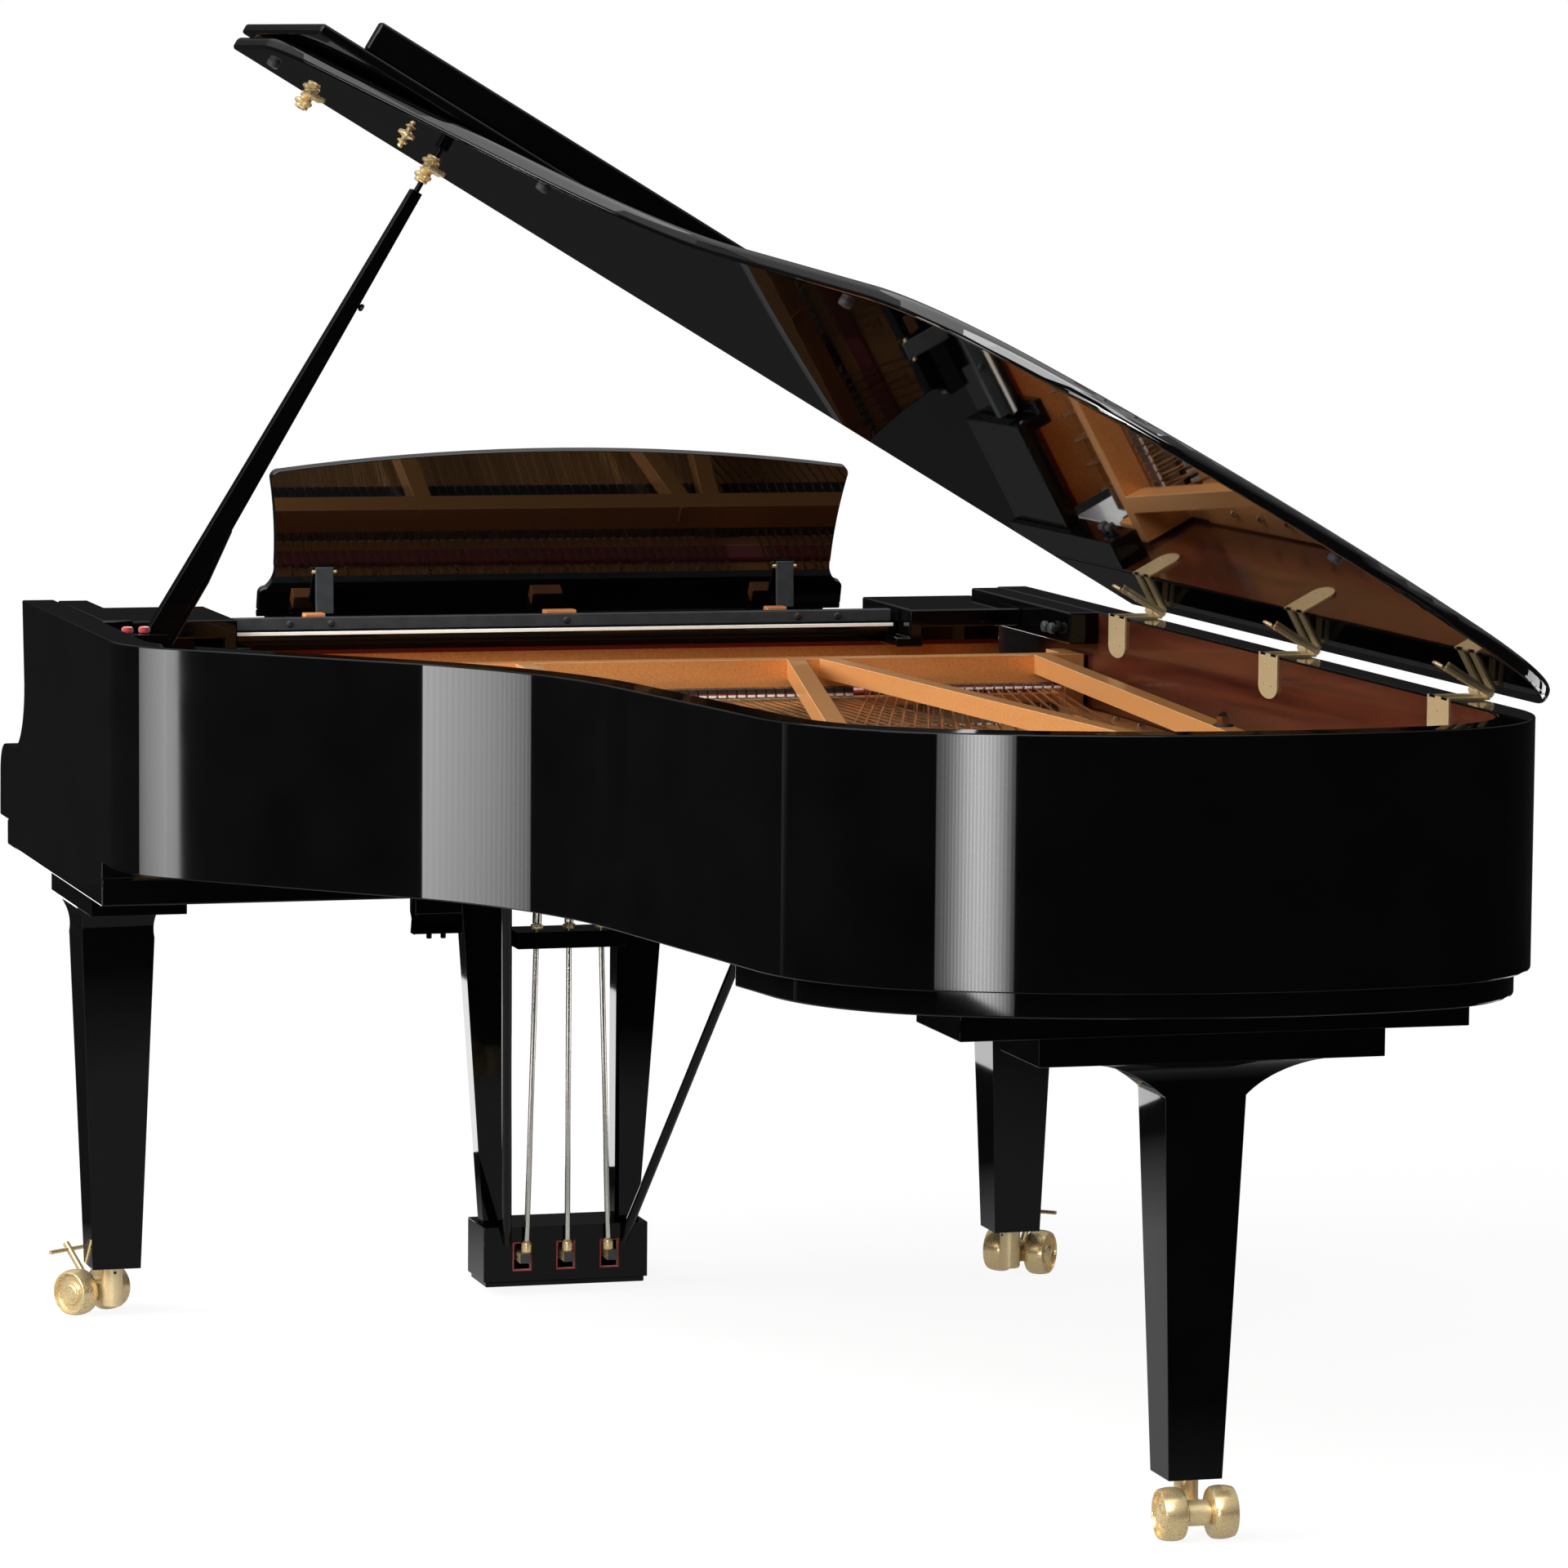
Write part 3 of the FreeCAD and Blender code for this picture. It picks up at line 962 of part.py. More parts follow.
for name, side in PEDALS.items():
    plan = [(s.pedal_neck, s.pedal_rear), (s.pedal_neck, s.pedal_flare), (s.pedal_tip, s.pedal_toe),
            (s.pedal_tip, s.pedal_front + s.pedal_neck), (s.pedal_neck, s.pedal_front)]
    plan += [(-a, b) for a, b in reversed(plan)]
    lever = prism([point(side + a, b, s.pedal_axis - half_thick) for a, b in plan], UP * s.pedal_thickness)
    lever = lever.cut(rod(point(side - s.pedal_tip, s.pedal_axis_back, s.pedal_axis),
                          point(side + s.pedal_tip, s.pedal_axis_back, s.pedal_axis),
                          s.pedal_axle + s.running))
    feature(f"pedal_{name}", lever)
    inward = (side < 0) - (side > 0)
    low = point(side + inward * s.rod_low_shift, s.rod_back, s.pedal_axis + half_thick + s.seam)
    high = point(side + inward * s.rod_high_shift, s.rod_back, s.rod_high)
    feature(f"pedal_rod_{name}", rod(low, high, s.rod_radius))
    guide = guide.cut(rod(low, high, s.rod_radius + s.running))
feature("lyre_frame", joined([lyre_top, pillar, mirrored(pillar), guide]))
reach = Vector(s.brace_high_side - s.brace_low_side, s.brace_high_back - s.box_rear,
               s.keybed_low - s.brace_low)
low = point(s.brace_low_side, s.box_rear, s.brace_low)
past = reach * BRACE_OVERRUN_SHARE
brace = rod(low - past, low + reach + past, s.brace_radius)
brace = brace.common(board((0, HALF), (s.box_rear, s.case_length), (0, s.keybed_low)))
feature("lyre_braces", both(brace))
block("trap_box", ("trap_inner", "trap_outer"), ("trap_front", "trap_rear"), ("trap_low", "keybed_low"))

# Every object and every sub-part is sound before anything is written
doc.recompute()
for item in doc.Objects:
    if "Invalid" in item.State or "Error" in item.State:
        raise RuntimeError(f"{item.Label} could not be made")
os.makedirs("parts", exist_ok=True)
for item in NODES:
    if item.Shape.isNull() or not item.Shape.isValid() or not item.Shape.Solids:
        raise RuntimeError(f"{item.Label} has no sound solid")
for item in NODES:
    item.Shape.exportStep(f"parts/{item.Label}.step")
print(len(NODES), "sub-parts")
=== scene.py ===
"""Looks of a grand piano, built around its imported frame."""
import json
import logging
import math
from collections.abc import Callable, Sequence
from dataclasses import dataclass
from enum import Enum

import bmesh
import bpy
from mathutils import Matrix, Vector

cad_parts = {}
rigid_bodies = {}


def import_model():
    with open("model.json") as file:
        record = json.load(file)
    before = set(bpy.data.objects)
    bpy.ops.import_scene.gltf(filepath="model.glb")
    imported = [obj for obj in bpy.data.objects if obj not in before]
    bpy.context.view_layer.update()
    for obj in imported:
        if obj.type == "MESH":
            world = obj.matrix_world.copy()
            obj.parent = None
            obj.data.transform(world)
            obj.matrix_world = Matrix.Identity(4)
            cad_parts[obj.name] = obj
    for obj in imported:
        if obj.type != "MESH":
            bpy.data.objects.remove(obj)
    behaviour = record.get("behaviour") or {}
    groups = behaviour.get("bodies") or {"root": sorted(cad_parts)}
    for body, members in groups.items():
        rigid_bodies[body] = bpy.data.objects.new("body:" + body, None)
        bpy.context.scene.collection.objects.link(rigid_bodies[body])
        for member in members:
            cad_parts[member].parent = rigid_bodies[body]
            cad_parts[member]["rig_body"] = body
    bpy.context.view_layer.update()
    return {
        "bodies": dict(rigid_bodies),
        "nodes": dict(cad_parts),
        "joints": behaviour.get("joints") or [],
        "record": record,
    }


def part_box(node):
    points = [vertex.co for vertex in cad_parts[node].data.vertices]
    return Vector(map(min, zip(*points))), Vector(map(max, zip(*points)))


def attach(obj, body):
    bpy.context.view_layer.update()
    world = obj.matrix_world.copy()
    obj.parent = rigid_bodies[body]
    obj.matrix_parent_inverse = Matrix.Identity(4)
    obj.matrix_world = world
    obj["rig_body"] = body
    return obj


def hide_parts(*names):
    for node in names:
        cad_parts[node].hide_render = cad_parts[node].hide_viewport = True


LOG = logging.getLogger("grand_piano")
Colour = tuple[float, float, float]
Point = tuple[float, float, float]
Pair = tuple[float, float]
Fade = tuple[float, float, float, float]
Outline = Sequence[Pair]
Piece = bpy.types.Object
Tree = bpy.types.NodeTree
Node = bpy.types.Node
Socket = bpy.types.NodeSocket
Nodes = dict[str, Piece]
Place = tuple[Vector, Vector]
FaceTest = Callable[[bpy.types.MeshPolygon], bool]
MADE: dict[str, bpy.types.Material] = {}
TURN = 2.0 * math.pi
MERGE = 1e-5
FLAT = math.radians(0.3)
SHARP = math.radians(32.0)
X_AXIS, Y_AXIS, Z_AXIS = Vector((1.0, 0.0, 0.0)), Vector((0.0, 1.0, 0.0)), Vector((0.0, 0.0, 1.0))
FACING_X = Matrix((Y_AXIS, Z_AXIS, X_AXIS)).transposed().to_4x4()
FACING_FRONT = Matrix((X_AXIS, Z_AXIS, -Y_AXIS)).transposed().to_4x4()
WHITE = (1.0, 1.0, 1.0, 1.0)
# What all finishes share: the places of both colours, the clear coat's roughness, the relief's depth
TINT_STOPS, COAT_ROUGH, RELIEF = (0.3, 0.7), 0.04, 0.001
# How far small edges and the ends of pins are eased, and a small gap
EASED, FINE, GAP = 0.001, 0.0008, 0.001
# From here up, a normal's share along an axis counts as facing that way
FACING = 0.9


class Coat(Enum):
    """How a finish is grained: noise detail and distortion."""

    PLAIN = (3.0, 0.0)
    GRAIN = (6.0, 0.6)
    BRUSHED = (4.0, 0.1)
    FLECK = (2.0, 0.0)


class Slot(Enum):
    """The record's material slots."""

    LACQUER = "black_lacquer"
    MAHOGANY = "mahogany"
    MAPLE = "maple"
    SPRUCE = "spruce"
    TAN = "tan_wood"
    IRON = "gold_iron"
    WHITE_KEY = "white_keytop"
    BLACK_KEY = "black_keytop"
    FELT = "hammer_felt"
    DAMPER = "damper_wood"
    STEEL = "steel"
    COPPER = "copper"
    BRASS = "brass"
    RUBBER = "black_rubber"


def filled(tree: Tree, node: Node, inputs: dict) -> Node:
    """Sets a node's inputs.

    Args:
        tree: the node tree.
        node: the node.
        inputs: a value or another node's output for each input, by name or number.

    Returns:
        The same node.
    """
    for label, value in inputs.items():
        if isinstance(value, Socket):
            tree.links.new(value, node.inputs[label])
        else:
            node.inputs[label].default_value = value
    return node


def added(tree: Tree, kind: str, inputs: dict | None = None, **settings: object) -> Node:
    """Adds a node.

    Args:
        tree: the node tree.
        kind: the node's type.
        inputs: a value or another node's output for each input, by name or number.
        **settings: the node's own settings.

    Returns:
        The new node.
    """
    node = tree.nodes.new(kind)
    for label, value in settings.items():
        setattr(node, label, value)
    return filled(tree, node, inputs or {})


def worked(tree: Tree, operation: str, *inputs: object) -> Socket:
    """The result of a sum on values or outputs."""
    return added(tree, "ShaderNodeMath", dict(enumerate(inputs)), operation=operation).outputs["Value"]


def faded(tree: Tree, source: Socket, fade: Fade) -> Socket:
    """A value that changes with another one.

    Args:
        tree: the node tree.
        source: the value that it follows.
        fade: where the change starts and ends, and the values up to there and beyond.

    Returns:
        The socket with the new value.
    """
    near, far, start, end = fade
    inputs = {"Value": source, "From Min": near, "From Max": far, "To Min": start, "To Max": end}
    return added(tree, "ShaderNodeMapRange", inputs).outputs["Result"]


@dataclass(frozen=True)
class Finish:
    """One surface finish with its procedural detail.

    Attributes:
        name: the material's name.
        slot: the record's slot that it belongs to.
        dark: the darker of its two colours.
        light: the lighter of its two colours.
        coat: the kind of detail.
        rough: lowest and highest roughness.
        metal: how metallic it is.
        scale: how often the detail repeats, per metre along X, Y and Z.
        bump: depth of the relief.
        gloss: weight of a clear coat.
        sheen: weight of a fibre sheen.
        ior: how strongly the surface mirrors.
    """

    name: str
    slot: Slot
    dark: Colour
    light: Colour
    coat: Coat = Coat.PLAIN
    rough: Pair = (0.3, 0.4)
    metal: float = 0.0
    scale: Point = (20.0, 20.0, 20.0)
    bump: float = 0.0
    gloss: float = 0.0
    sheen: float = 0.0
    ior: float = 1.45

    def material(self) -> bpy.types.Material:
        """Makes the finish's material, once.

        Returns:
            The node material.
        """
        if self.name in MADE:
            return MADE[self.name]
        made = MADE[self.name] = bpy.data.materials.new(f"piano_{self.name}")
        made.use_nodes = True
        tree = made.node_tree
        detail, twist = self.coat.value
        place = added(tree, "ShaderNodeTexCoord").outputs["Object"]
        spread = added(tree, "ShaderNodeMapping", {"Vector": place, "Scale": self.scale}).outputs["Vector"]
        noise = added(tree, "ShaderNodeTexNoise", {
            "Vector": spread, "Scale": 1.0, "Detail": detail, "Distortion": twist}).outputs["Fac"]
        tint = added(tree, "ShaderNodeValToRGB", {"Fac": noise})
        for stop, at, colour in zip(tint.color_ramp.elements, TINT_STOPS, (self.dark, self.light)):
            stop.position = at
            stop.color = (*colour, 1.0)
        shader = filled(tree, tree.nodes["Principled BSDF"], {
            "Metallic": self.metal, "IOR": self.ior, "Coat Weight": self.gloss, "Coat Roughness": COAT_ROUGH,
            "Sheen Weight": self.sheen, "Base Color": tint.outputs["Color"],
            "Roughness": faded(tree, noise, (0.0, 1.0, *self.rough))})
        if self.bump:
            relief = added(tree, "ShaderNodeBump", {
                "Strength": self.bump, "Distance": RELIEF, "Height": noise})
            filled(tree, shader, {"Normal": relief.outputs["Normal"]})
        return made


def even(scale: float) -> Point:
    """The same scale along X, Y and Z."""
    return (scale, scale, scale)


Second = tuple[Finish, FaceTest]
BLACK, SOOT = (0.0006, 0.0006, 0.0007), (0.0010, 0.0010, 0.0011)
LACQUER = Finish("black_lacquer", Slot.LACQUER, BLACK, SOOT, rough=(0.02, 0.04), scale=even(9.0), ior=1.3)
MIRROR = Finish("mirror_lacquer", Slot.LACQUER, BLACK, SOOT, rough=(0.01, 0.03), scale=even(9.0), ior=1.7)
SATIN = Finish("satin_black", Slot.LACQUER, (0.020, 0.024, 0.026), (0.030, 0.035, 0.038),
               rough=(0.32, 0.42), scale=even(60.0), bump=0.05)
VENEER = Finish("polished_mahogany", Slot.MAHOGANY, (0.014, 0.0034, 0.0024), (0.055, 0.013, 0.0065),
                Coat.GRAIN, (0.14, 0.24), scale=(60.0, 2.2, 34.0), bump=0.03, gloss=0.25)
MAPLE = Finish("pale_maple", Slot.MAPLE, (0.42, 0.27, 0.14), (0.56, 0.38, 0.21),
               Coat.GRAIN, (0.35, 0.5), scale=(50.0, 3.0, 50.0), bump=0.05)
SPRUCE = Finish("varnished_spruce", Slot.SPRUCE, (0.42, 0.20, 0.06), (0.60, 0.33, 0.12),
                Coat.GRAIN, (0.28, 0.4), scale=(90.0, 1.5, 40.0), bump=0.04, gloss=0.3)
TAN = Finish("tan_block", Slot.TAN, (0.34, 0.12, 0.04), (0.48, 0.19, 0.07),
             Coat.GRAIN, (0.3, 0.45), scale=(12.0, 90.0, 90.0), bump=0.05)
BRONZE = Finish("bronzed_iron", Slot.IRON, (0.66, 0.28, 0.085), (0.80, 0.39, 0.14),
                Coat.FLECK, (0.28, 0.38), 0.6, even(420.0), 0.04, gloss=0.15)
# A lighter, less metallic bronze for the casting's slanted edges: a painted highlight.
BRONZE_HIGHLIGHT = Finish("bronzed_edge", Slot.IRON, (0.90, 0.55, 0.26), (0.95, 0.66, 0.36),
                     Coat.FLECK, (0.36, 0.46), 0.3, even(420.0), 0.04)
BRASS = Finish("polished_brass", Slot.BRASS, (0.72, 0.55, 0.28), (0.80, 0.63, 0.35),
               Coat.BRUSHED, (0.24, 0.30), 0.8, even(700.0))
CREAM_BRASS = Finish("satin_brass", Slot.BRASS, (0.68, 0.53, 0.29), (0.76, 0.61, 0.35),
                     Coat.BRUSHED, (0.36, 0.44), 0.7, even(300.0))
STEEL = Finish("bright_steel", Slot.STEEL, (0.55, 0.53, 0.48), (0.76, 0.73, 0.67),
               Coat.BRUSHED, (0.12, 0.22), 1.0, (80.0, 80.0, 10.0))
WIRE = Finish("string_steel", Slot.STEEL, (0.70, 0.60, 0.46), (0.86, 0.77, 0.62),
              Coat.BRUSHED, (0.2, 0.3), 1.0, (80.0, 10.0, 80.0))
COPPER = Finish("wound_copper", Slot.COPPER, (0.52, 0.25, 0.11), (0.78, 0.44, 0.22),
                Coat.BRUSHED, (0.22, 0.34), 1.0, (300.0, 900.0, 300.0), 0.3)
IVORY = Finish("white_keytop", Slot.WHITE_KEY, (0.74, 0.72, 0.66), (0.80, 0.78, 0.73),
               rough=(0.12, 0.2), scale=(30.0, 6.0, 30.0))
EBONY = Finish("black_keytop", Slot.BLACK_KEY, (0.006, 0.006, 0.006), (0.012, 0.011, 0.011),
               Coat.GRAIN, (0.22, 0.34), scale=(200.0, 8.0, 200.0), bump=0.03)
FELT = Finish("wool_felt", Slot.FELT, (0.60, 0.57, 0.50), (0.76, 0.73, 0.66),
              rough=(0.85, 0.95), scale=even(500.0), bump=0.3, sheen=0.4)
RED_FELT = Finish("red_felt", Slot.FELT, (0.15, 0.007, 0.009), (0.26, 0.014, 0.015),
                  rough=(0.85, 0.95), scale=even(500.0), bump=0.3, sheen=0.4)
DAMPER = Finish("damper_wood", Slot.DAMPER, (0.008, 0.008, 0.009), (0.016, 0.016, 0.017),
                Coat.GRAIN, (0.3, 0.42), scale=(90.0, 20.0, 90.0), bump=0.03)
RUBBER = Finish("black_rubber", Slot.RUBBER, (0.010, 0.010, 0.011), (0.020, 0.020, 0.021),
                rough=(0.45, 0.6), scale=even(200.0), bump=0.1)

# Solids that keep their CAD shape
PLAIN_NODES: dict[str, Finish] = {
    "rim_veneer": VENEER, "inner_rim": MAPLE, "case_beams": MAPLE, "pinblock": MAPLE, "key_frame": MAPLE,
    "action_frame": MAPLE, "soundboard": SPRUCE, "flap_hinge_lid": BRASS, "flap_hinge_flap": BRASS,
}


def dress(piece: Piece, finish: Finish, body: str, replaces: Sequence[str] = ()) -> None:
    """Gives a piece its finish, its body and the nodes that it stands for.

    Args:
        piece: the finished mesh.
        finish: what it is coated with.
        body: the CAD body that it moves with.
        replaces: the CAD nodes that it hides.
    """
    if not piece.data.materials:
        piece.data.materials.append(finish.material())
    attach(piece, body)
    if replaces:
        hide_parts(*replaces)
    LOG.info("%s in %s on %s", piece.name, finish.name, body)


def settled(piece: Piece) -> None:
    """Turns a piece's modifiers into a plain mesh.

    Args:
        piece: an object with live modifiers.
    """
    made = bpy.data.meshes.new_from_object(piece.evaluated_get(bpy.context.evaluated_depsgraph_get()))
    raw = piece.data
    piece.modifiers.clear()
    piece.data = made
    bpy.data.meshes.remove(raw)
    made.name = piece.name


def smoothed(mesh: bpy.types.Mesh) -> None:
    """Shades a mesh smooth except at its edges."""
    mesh.polygons.foreach_set("use_smooth", [True] * len(mesh.polygons))
    mesh.set_sharp_from_angle(angle=SHARP)


def linked(name: str, data: bpy.types.ID) -> Piece:
    """A new object of the scene."""
    piece = bpy.data.objects.new(name, data)
    bpy.context.scene.collection.objects.link(piece)
    return piece


def milli(*outline: Pair) -> list[Pair]:
    """An outline given in millimetres, in metres."""
    return [(across / 1000.0, along / 1000.0) for across, along in outline]


class Shape:
    """A mesh in the making, in metres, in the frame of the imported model."""

    def __init__(self) -> None:
        """Starts with nothing."""
        self.mesh = bmesh.new()
        self.outward = True

    def copied(self, node: Piece) -> "Shape":
        """Takes over a CAD node's solids, with their triangles merged into flat faces.

        Args:
            node: the CAD node.

        Returns:
            This shape.
        """
        self.mesh.from_mesh(node.data)
        bmesh.ops.remove_doubles(self.mesh, verts=self.mesh.verts, dist=MERGE)
        bmesh.ops.dissolve_limit(self.mesh, angle_limit=FLAT, verts=self.mesh.verts, edges=self.mesh.edges)
        self.outward = False
        return self

    def box(self, low: Sequence[float], high: Sequence[float], place: Matrix = Matrix()) -> "Shape":
        """Adds a block between two corners.

        Args:
            low: its lowest corner.
            high: its highest corner.
            place: where its own frame stands.

        Returns:
            This shape.
        """
        low, high = Vector(low), Vector(high)
        middle = Matrix.Translation((low + high) / 2)
        stretch = Matrix.Diagonal((*(high - low), 1.0))
        bmesh.ops.create_cube(self.mesh, size=1.0, matrix=place @ middle @ stretch)
        return self

    def turned(self, profile: Outline, at: Vector, axis: Vector, sides: int = 32, closed: bool = False,
               arc: Pair = (0.0, TURN)) -> "Shape":
        """Adds a turned form.

        Args:
            profile: its outline as pairs of radius and place along the axis.
            at: where the axis starts.
            axis: which way it runs.
            sides: how many steps the turn has.
            closed: whether the outline is a ring of its own.
            arc: where the turn starts and ends.

        Returns:
            This shape.
        """
        frame = axis.to_track_quat("Z", "Y").to_matrix()
        whole = arc[1] - arc[0] > TURN - MERGE
        rings = []
        for step in range(sides if whole else sides + 1):
            angle = arc[0] + (arc[1] - arc[0]) * step / sides
            rings.append([
                self.mesh.verts.new(at + frame @ Vector((r * math.cos(angle), r * math.sin(angle), z)))
                for r, z in profile
            ])
        count = len(profile)
        for step in range(sides):
            one, two = rings[step], rings[(step + 1) % len(rings)]
            for i in range(count if closed else count - 1):
                j = (i + 1) % count
                self.mesh.faces.new((one[i], two[i], two[j], one[j]))
        if not whole:
            self.mesh.faces.new(rings[0])
            self.mesh.faces.new(rings[-1])
        return self

    def pin(self, start: Vector, end: Vector, radius: float, edge: float, sides: int = 20) -> "Shape":
        """Adds a round bar with eased ends.

        Args:
            start: the middle of one end.
            end: the middle of the other end.
            radius: half its thickness.
            edge: how far its ends are eased.
            sides: how many sides it has.

        Returns:
            This shape.
        """
        length, part = (end - start).length, edge * 0.3
        profile = [(0.0, 0.0), (radius - edge, 0.0), (radius - part, part), (radius, edge),
                   (radius, length - edge), (radius - part, length - part), (radius - edge, length),
                   (0.0, length)]
        return self.turned(profile, start, end - start, sides)

    def plate(self, outline: Outline, place: Matrix, depth: float) -> "Shape":
        """Adds a flat piece.

        Args:
            outline: its corners in its own plane.
            place: where that plane stands.
            depth: how thick it is, along the plane's normal.

        Returns:
            This shape.
        """
        low = [self.mesh.verts.new(place @ Vector((u, v, 0.0))) for u, v in outline]
        high = [self.mesh.verts.new(place @ Vector((u, v, depth))) for u, v in outline]
        self.mesh.faces.new(low[::-1])
        self.mesh.faces.new(high)
        for i in range(len(outline)):
            self.mesh.faces.new((low[i - 1], low[i], high[i], high[i - 1]))
        return self

    def raw(self, name: str) -> Piece:
        """Closes the mesh and makes it an object, smooth except at its edges.

        Args:
            name: the object's name.

        Returns:
            The object, not yet dressed.
        """
        if self.outward:
            bmesh.ops.remove_doubles(self.mesh, verts=self.mesh.verts, dist=MERGE)
            bmesh.ops.recalc_face_normals(self.mesh, faces=self.mesh.faces)
        mesh = bpy.data.meshes.new(name)
        self.mesh.to_mesh(mesh)
        self.mesh.free()
        smoothed(mesh)
        return linked(name, mesh)

    def done(self, name: str, finish: Finish, body: str, replaces: Sequence[str] = (), edge: float = 0.0,
             rounds: int = 2, other: Second | None = None) -> None:
        """Finishes the piece.

        Args:
            name: the piece's name.
            finish: what it is coated with.
            body: the CAD body that it moves with.
            replaces: the CAD nodes that it hides.
            edge: how far its edges are rounded.
            rounds: how many steps a rounded edge has.
            other: a second finish and the test for the faces that have it.
        """
        piece = self.raw(name)
        if edge:
            eased = piece.modifiers.new("edge", "BEVEL")
            eased.width, eased.segments = edge, rounds
            eased.limit_method, eased.angle_limit = "ANGLE", SHARP
        level = piece.modifiers.new("level", "WEIGHTED_NORMAL")
        level.keep_sharp = True
        settled(piece)
        if other:
            second, test = other
            piece.data.materials.append(finish.material())
            piece.data.materials.append(second.material())
            for face in piece.data.polygons:
                face.material_index = int(test(face))
        dress(piece, finish, body, replaces)


def islands(node: Piece) -> list[list[Vector]]:
    """Finds the separate solids of a node.

    Args:
        node: the CAD node.

    Returns:
        The corners of each solid, from low to high X.
    """
    shape = bmesh.new()
    shape.from_mesh(node.data)
    bmesh.ops.remove_doubles(shape, verts=shape.verts, dist=MERGE)
    left = set(shape.verts)
    found = []
    while left:
        front, group = [left.pop()], []
        while front:
            here = front.pop()
            group.append(here.co.copy())
            for edge in here.link_edges:
                there = edge.other_vert(here)
                if there in left:
                    left.remove(there)
                    front.append(there)
        found.append(group)
    shape.free()
    return sorted(found, key=lambda group: sum(corner.x for corner in group) / len(group))


def span(group: Sequence[Vector]) -> Place:
    """The lowest and highest corner around some points."""
    return (Vector(min(corner[i] for corner in group) for i in range(3)),
            Vector(max(corner[i] for corner in group) for i in range(3)))


def mean(group: Sequence[Vector]) -> Vector:
    """The middle of some points."""
    return sum(group, Vector()) / len(group)


class Trees:
    """Geometry Nodes trees for what repeats and for what follows a path."""

    made: dict[str, Tree] = {}

    @classmethod
    def begun(cls, name: str, *inputs: tuple[str, str]) -> tuple[Tree, Node]:
        """Starts a tree with named inputs.

        Args:
            name: the tree's name.
            *inputs: the names and kinds of its own inputs.

        Returns:
            The tree and the node that holds its inputs.
        """
        tree = cls.made[name] = bpy.data.node_groups.new(name, "GeometryNodeTree")
        for label, kind in (("Geometry", "Geometry"), *inputs, ("Finish", "Material")):
            tree.interface.new_socket(label, in_out="INPUT", socket_type=f"NodeSocket{kind}")
        tree.interface.new_socket("Geometry", in_out="OUTPUT", socket_type="NodeSocketGeometry")
        return tree, added(tree, "NodeGroupInput")

    @staticmethod
    def ended(tree: Tree, source: Socket, finish: Socket) -> None:
        """Ends a tree in real geometry with its material.

        Args:
            tree: the tree.
            source: the geometry so far.
            finish: the input that holds the material.
        """
        real = added(tree, "GeometryNodeRealizeInstances", {"Geometry": source}).outputs["Geometry"]
        coat = added(tree, "GeometryNodeSetMaterial", {"Geometry": real, "Material": finish})
        added(tree, "NodeGroupOutput", {0: coat.outputs["Geometry"]})

    @classmethod
    def repeat(cls) -> Tree:
        """Sets one shape on every point of a mesh, turned as the point says.

        Returns:
            The tree, made once.
        """
        if "repeat" not in cls.made:
            tree, given = cls.begun("repeat", ("Shape", "Object"), ("Size", "Float"))
            shape = added(tree, "GeometryNodeObjectInfo", {"Object": given.outputs["Shape"]})
            turn = added(tree, "GeometryNodeInputNamedAttribute", {"Name": "turn"}, data_type="FLOAT_VECTOR")
            way = added(tree, "FunctionNodeEulerToRotation", {"Euler": turn.outputs["Attribute"]})
            each = added(tree, "GeometryNodeInstanceOnPoints", {
                "Points": given.outputs["Geometry"], "Instance": shape.outputs["Geometry"],
                "Rotation": way.outputs["Rotation"], "Scale": given.outputs["Size"]})
            cls.ended(tree, each.outputs["Instances"], given.outputs["Finish"])
        return cls.made["repeat"]

    @classmethod
    def wire(cls) -> Tree:
        """Lays a round wire along every run of edges.

        Returns:
            The tree, made once.
        """
        if "wire" not in cls.made:
            tree, given = cls.begun("wire", ("Radius", "Float"), ("Sides", "Int"))
            path = added(tree, "GeometryNodeMeshToCurve", {"Mesh": given.outputs["Geometry"]})
            ring = added(tree, "GeometryNodeCurvePrimitiveCircle", {
                "Radius": given.outputs["Radius"], "Resolution": given.outputs["Sides"]})
            tube = added(tree, "GeometryNodeCurveToMesh", {
                "Curve": path.outputs["Curve"], "Profile Curve": ring.outputs["Curve"], "Fill Caps": True})
            cls.ended(tree, tube.outputs["Mesh"], given.outputs["Finish"])
        return cls.made["wire"]

    @staticmethod
    def run(piece: Piece, tree: Tree, values: dict[str, object]) -> None:
        """Runs a tree on a piece and keeps the result as a plain mesh.

        Args:
            piece: the object that holds the points or the paths.
            tree: the tree.
            values: what its inputs are set to, by name.
        """
        nodes = piece.modifiers.new("nodes", "NODES")
        nodes.node_group = tree
        for item in tree.interface.items_tree:
            if item.in_out == "INPUT" and item.name in values:
                nodes[item.identifier] = values[item.name]
        settled(piece)
        smoothed(piece.data)


def repeated(name: str, shape: Piece, places: Sequence[Place], finish: Finish, body: str,
             replaces: Sequence[str] = (), size: float = 1.0) -> None:
    """One shape at many places, as one piece.

    Args:
        name: the piece's name.
        shape: what repeats, along Z from the origin. It is used up.
        places: where each one stands and which way its Z points.
        finish: what it is coated with.
        body: the CAD body that it moves with.
        replaces: the CAD nodes that it hides.
        size: how much larger each one is than the shape.
    """
    mesh = bpy.data.meshes.new(name)
    mesh.from_pydata([at for at, _ in places], [], [])
    turn = mesh.attributes.new("turn", "FLOAT_VECTOR", "POINT")
    for item, (_, way) in zip(turn.data, places):
        item.vector = way.to_track_quat("Z", "Y").to_euler()
    piece = linked(name, mesh)
    Trees.run(piece, Trees.repeat(), {"Shape": shape, "Size": size, "Finish": finish.material()})
    used = shape.data
    bpy.data.objects.remove(shape)
    bpy.data.meshes.remove(used)
    dress(piece, finish, body, replaces)


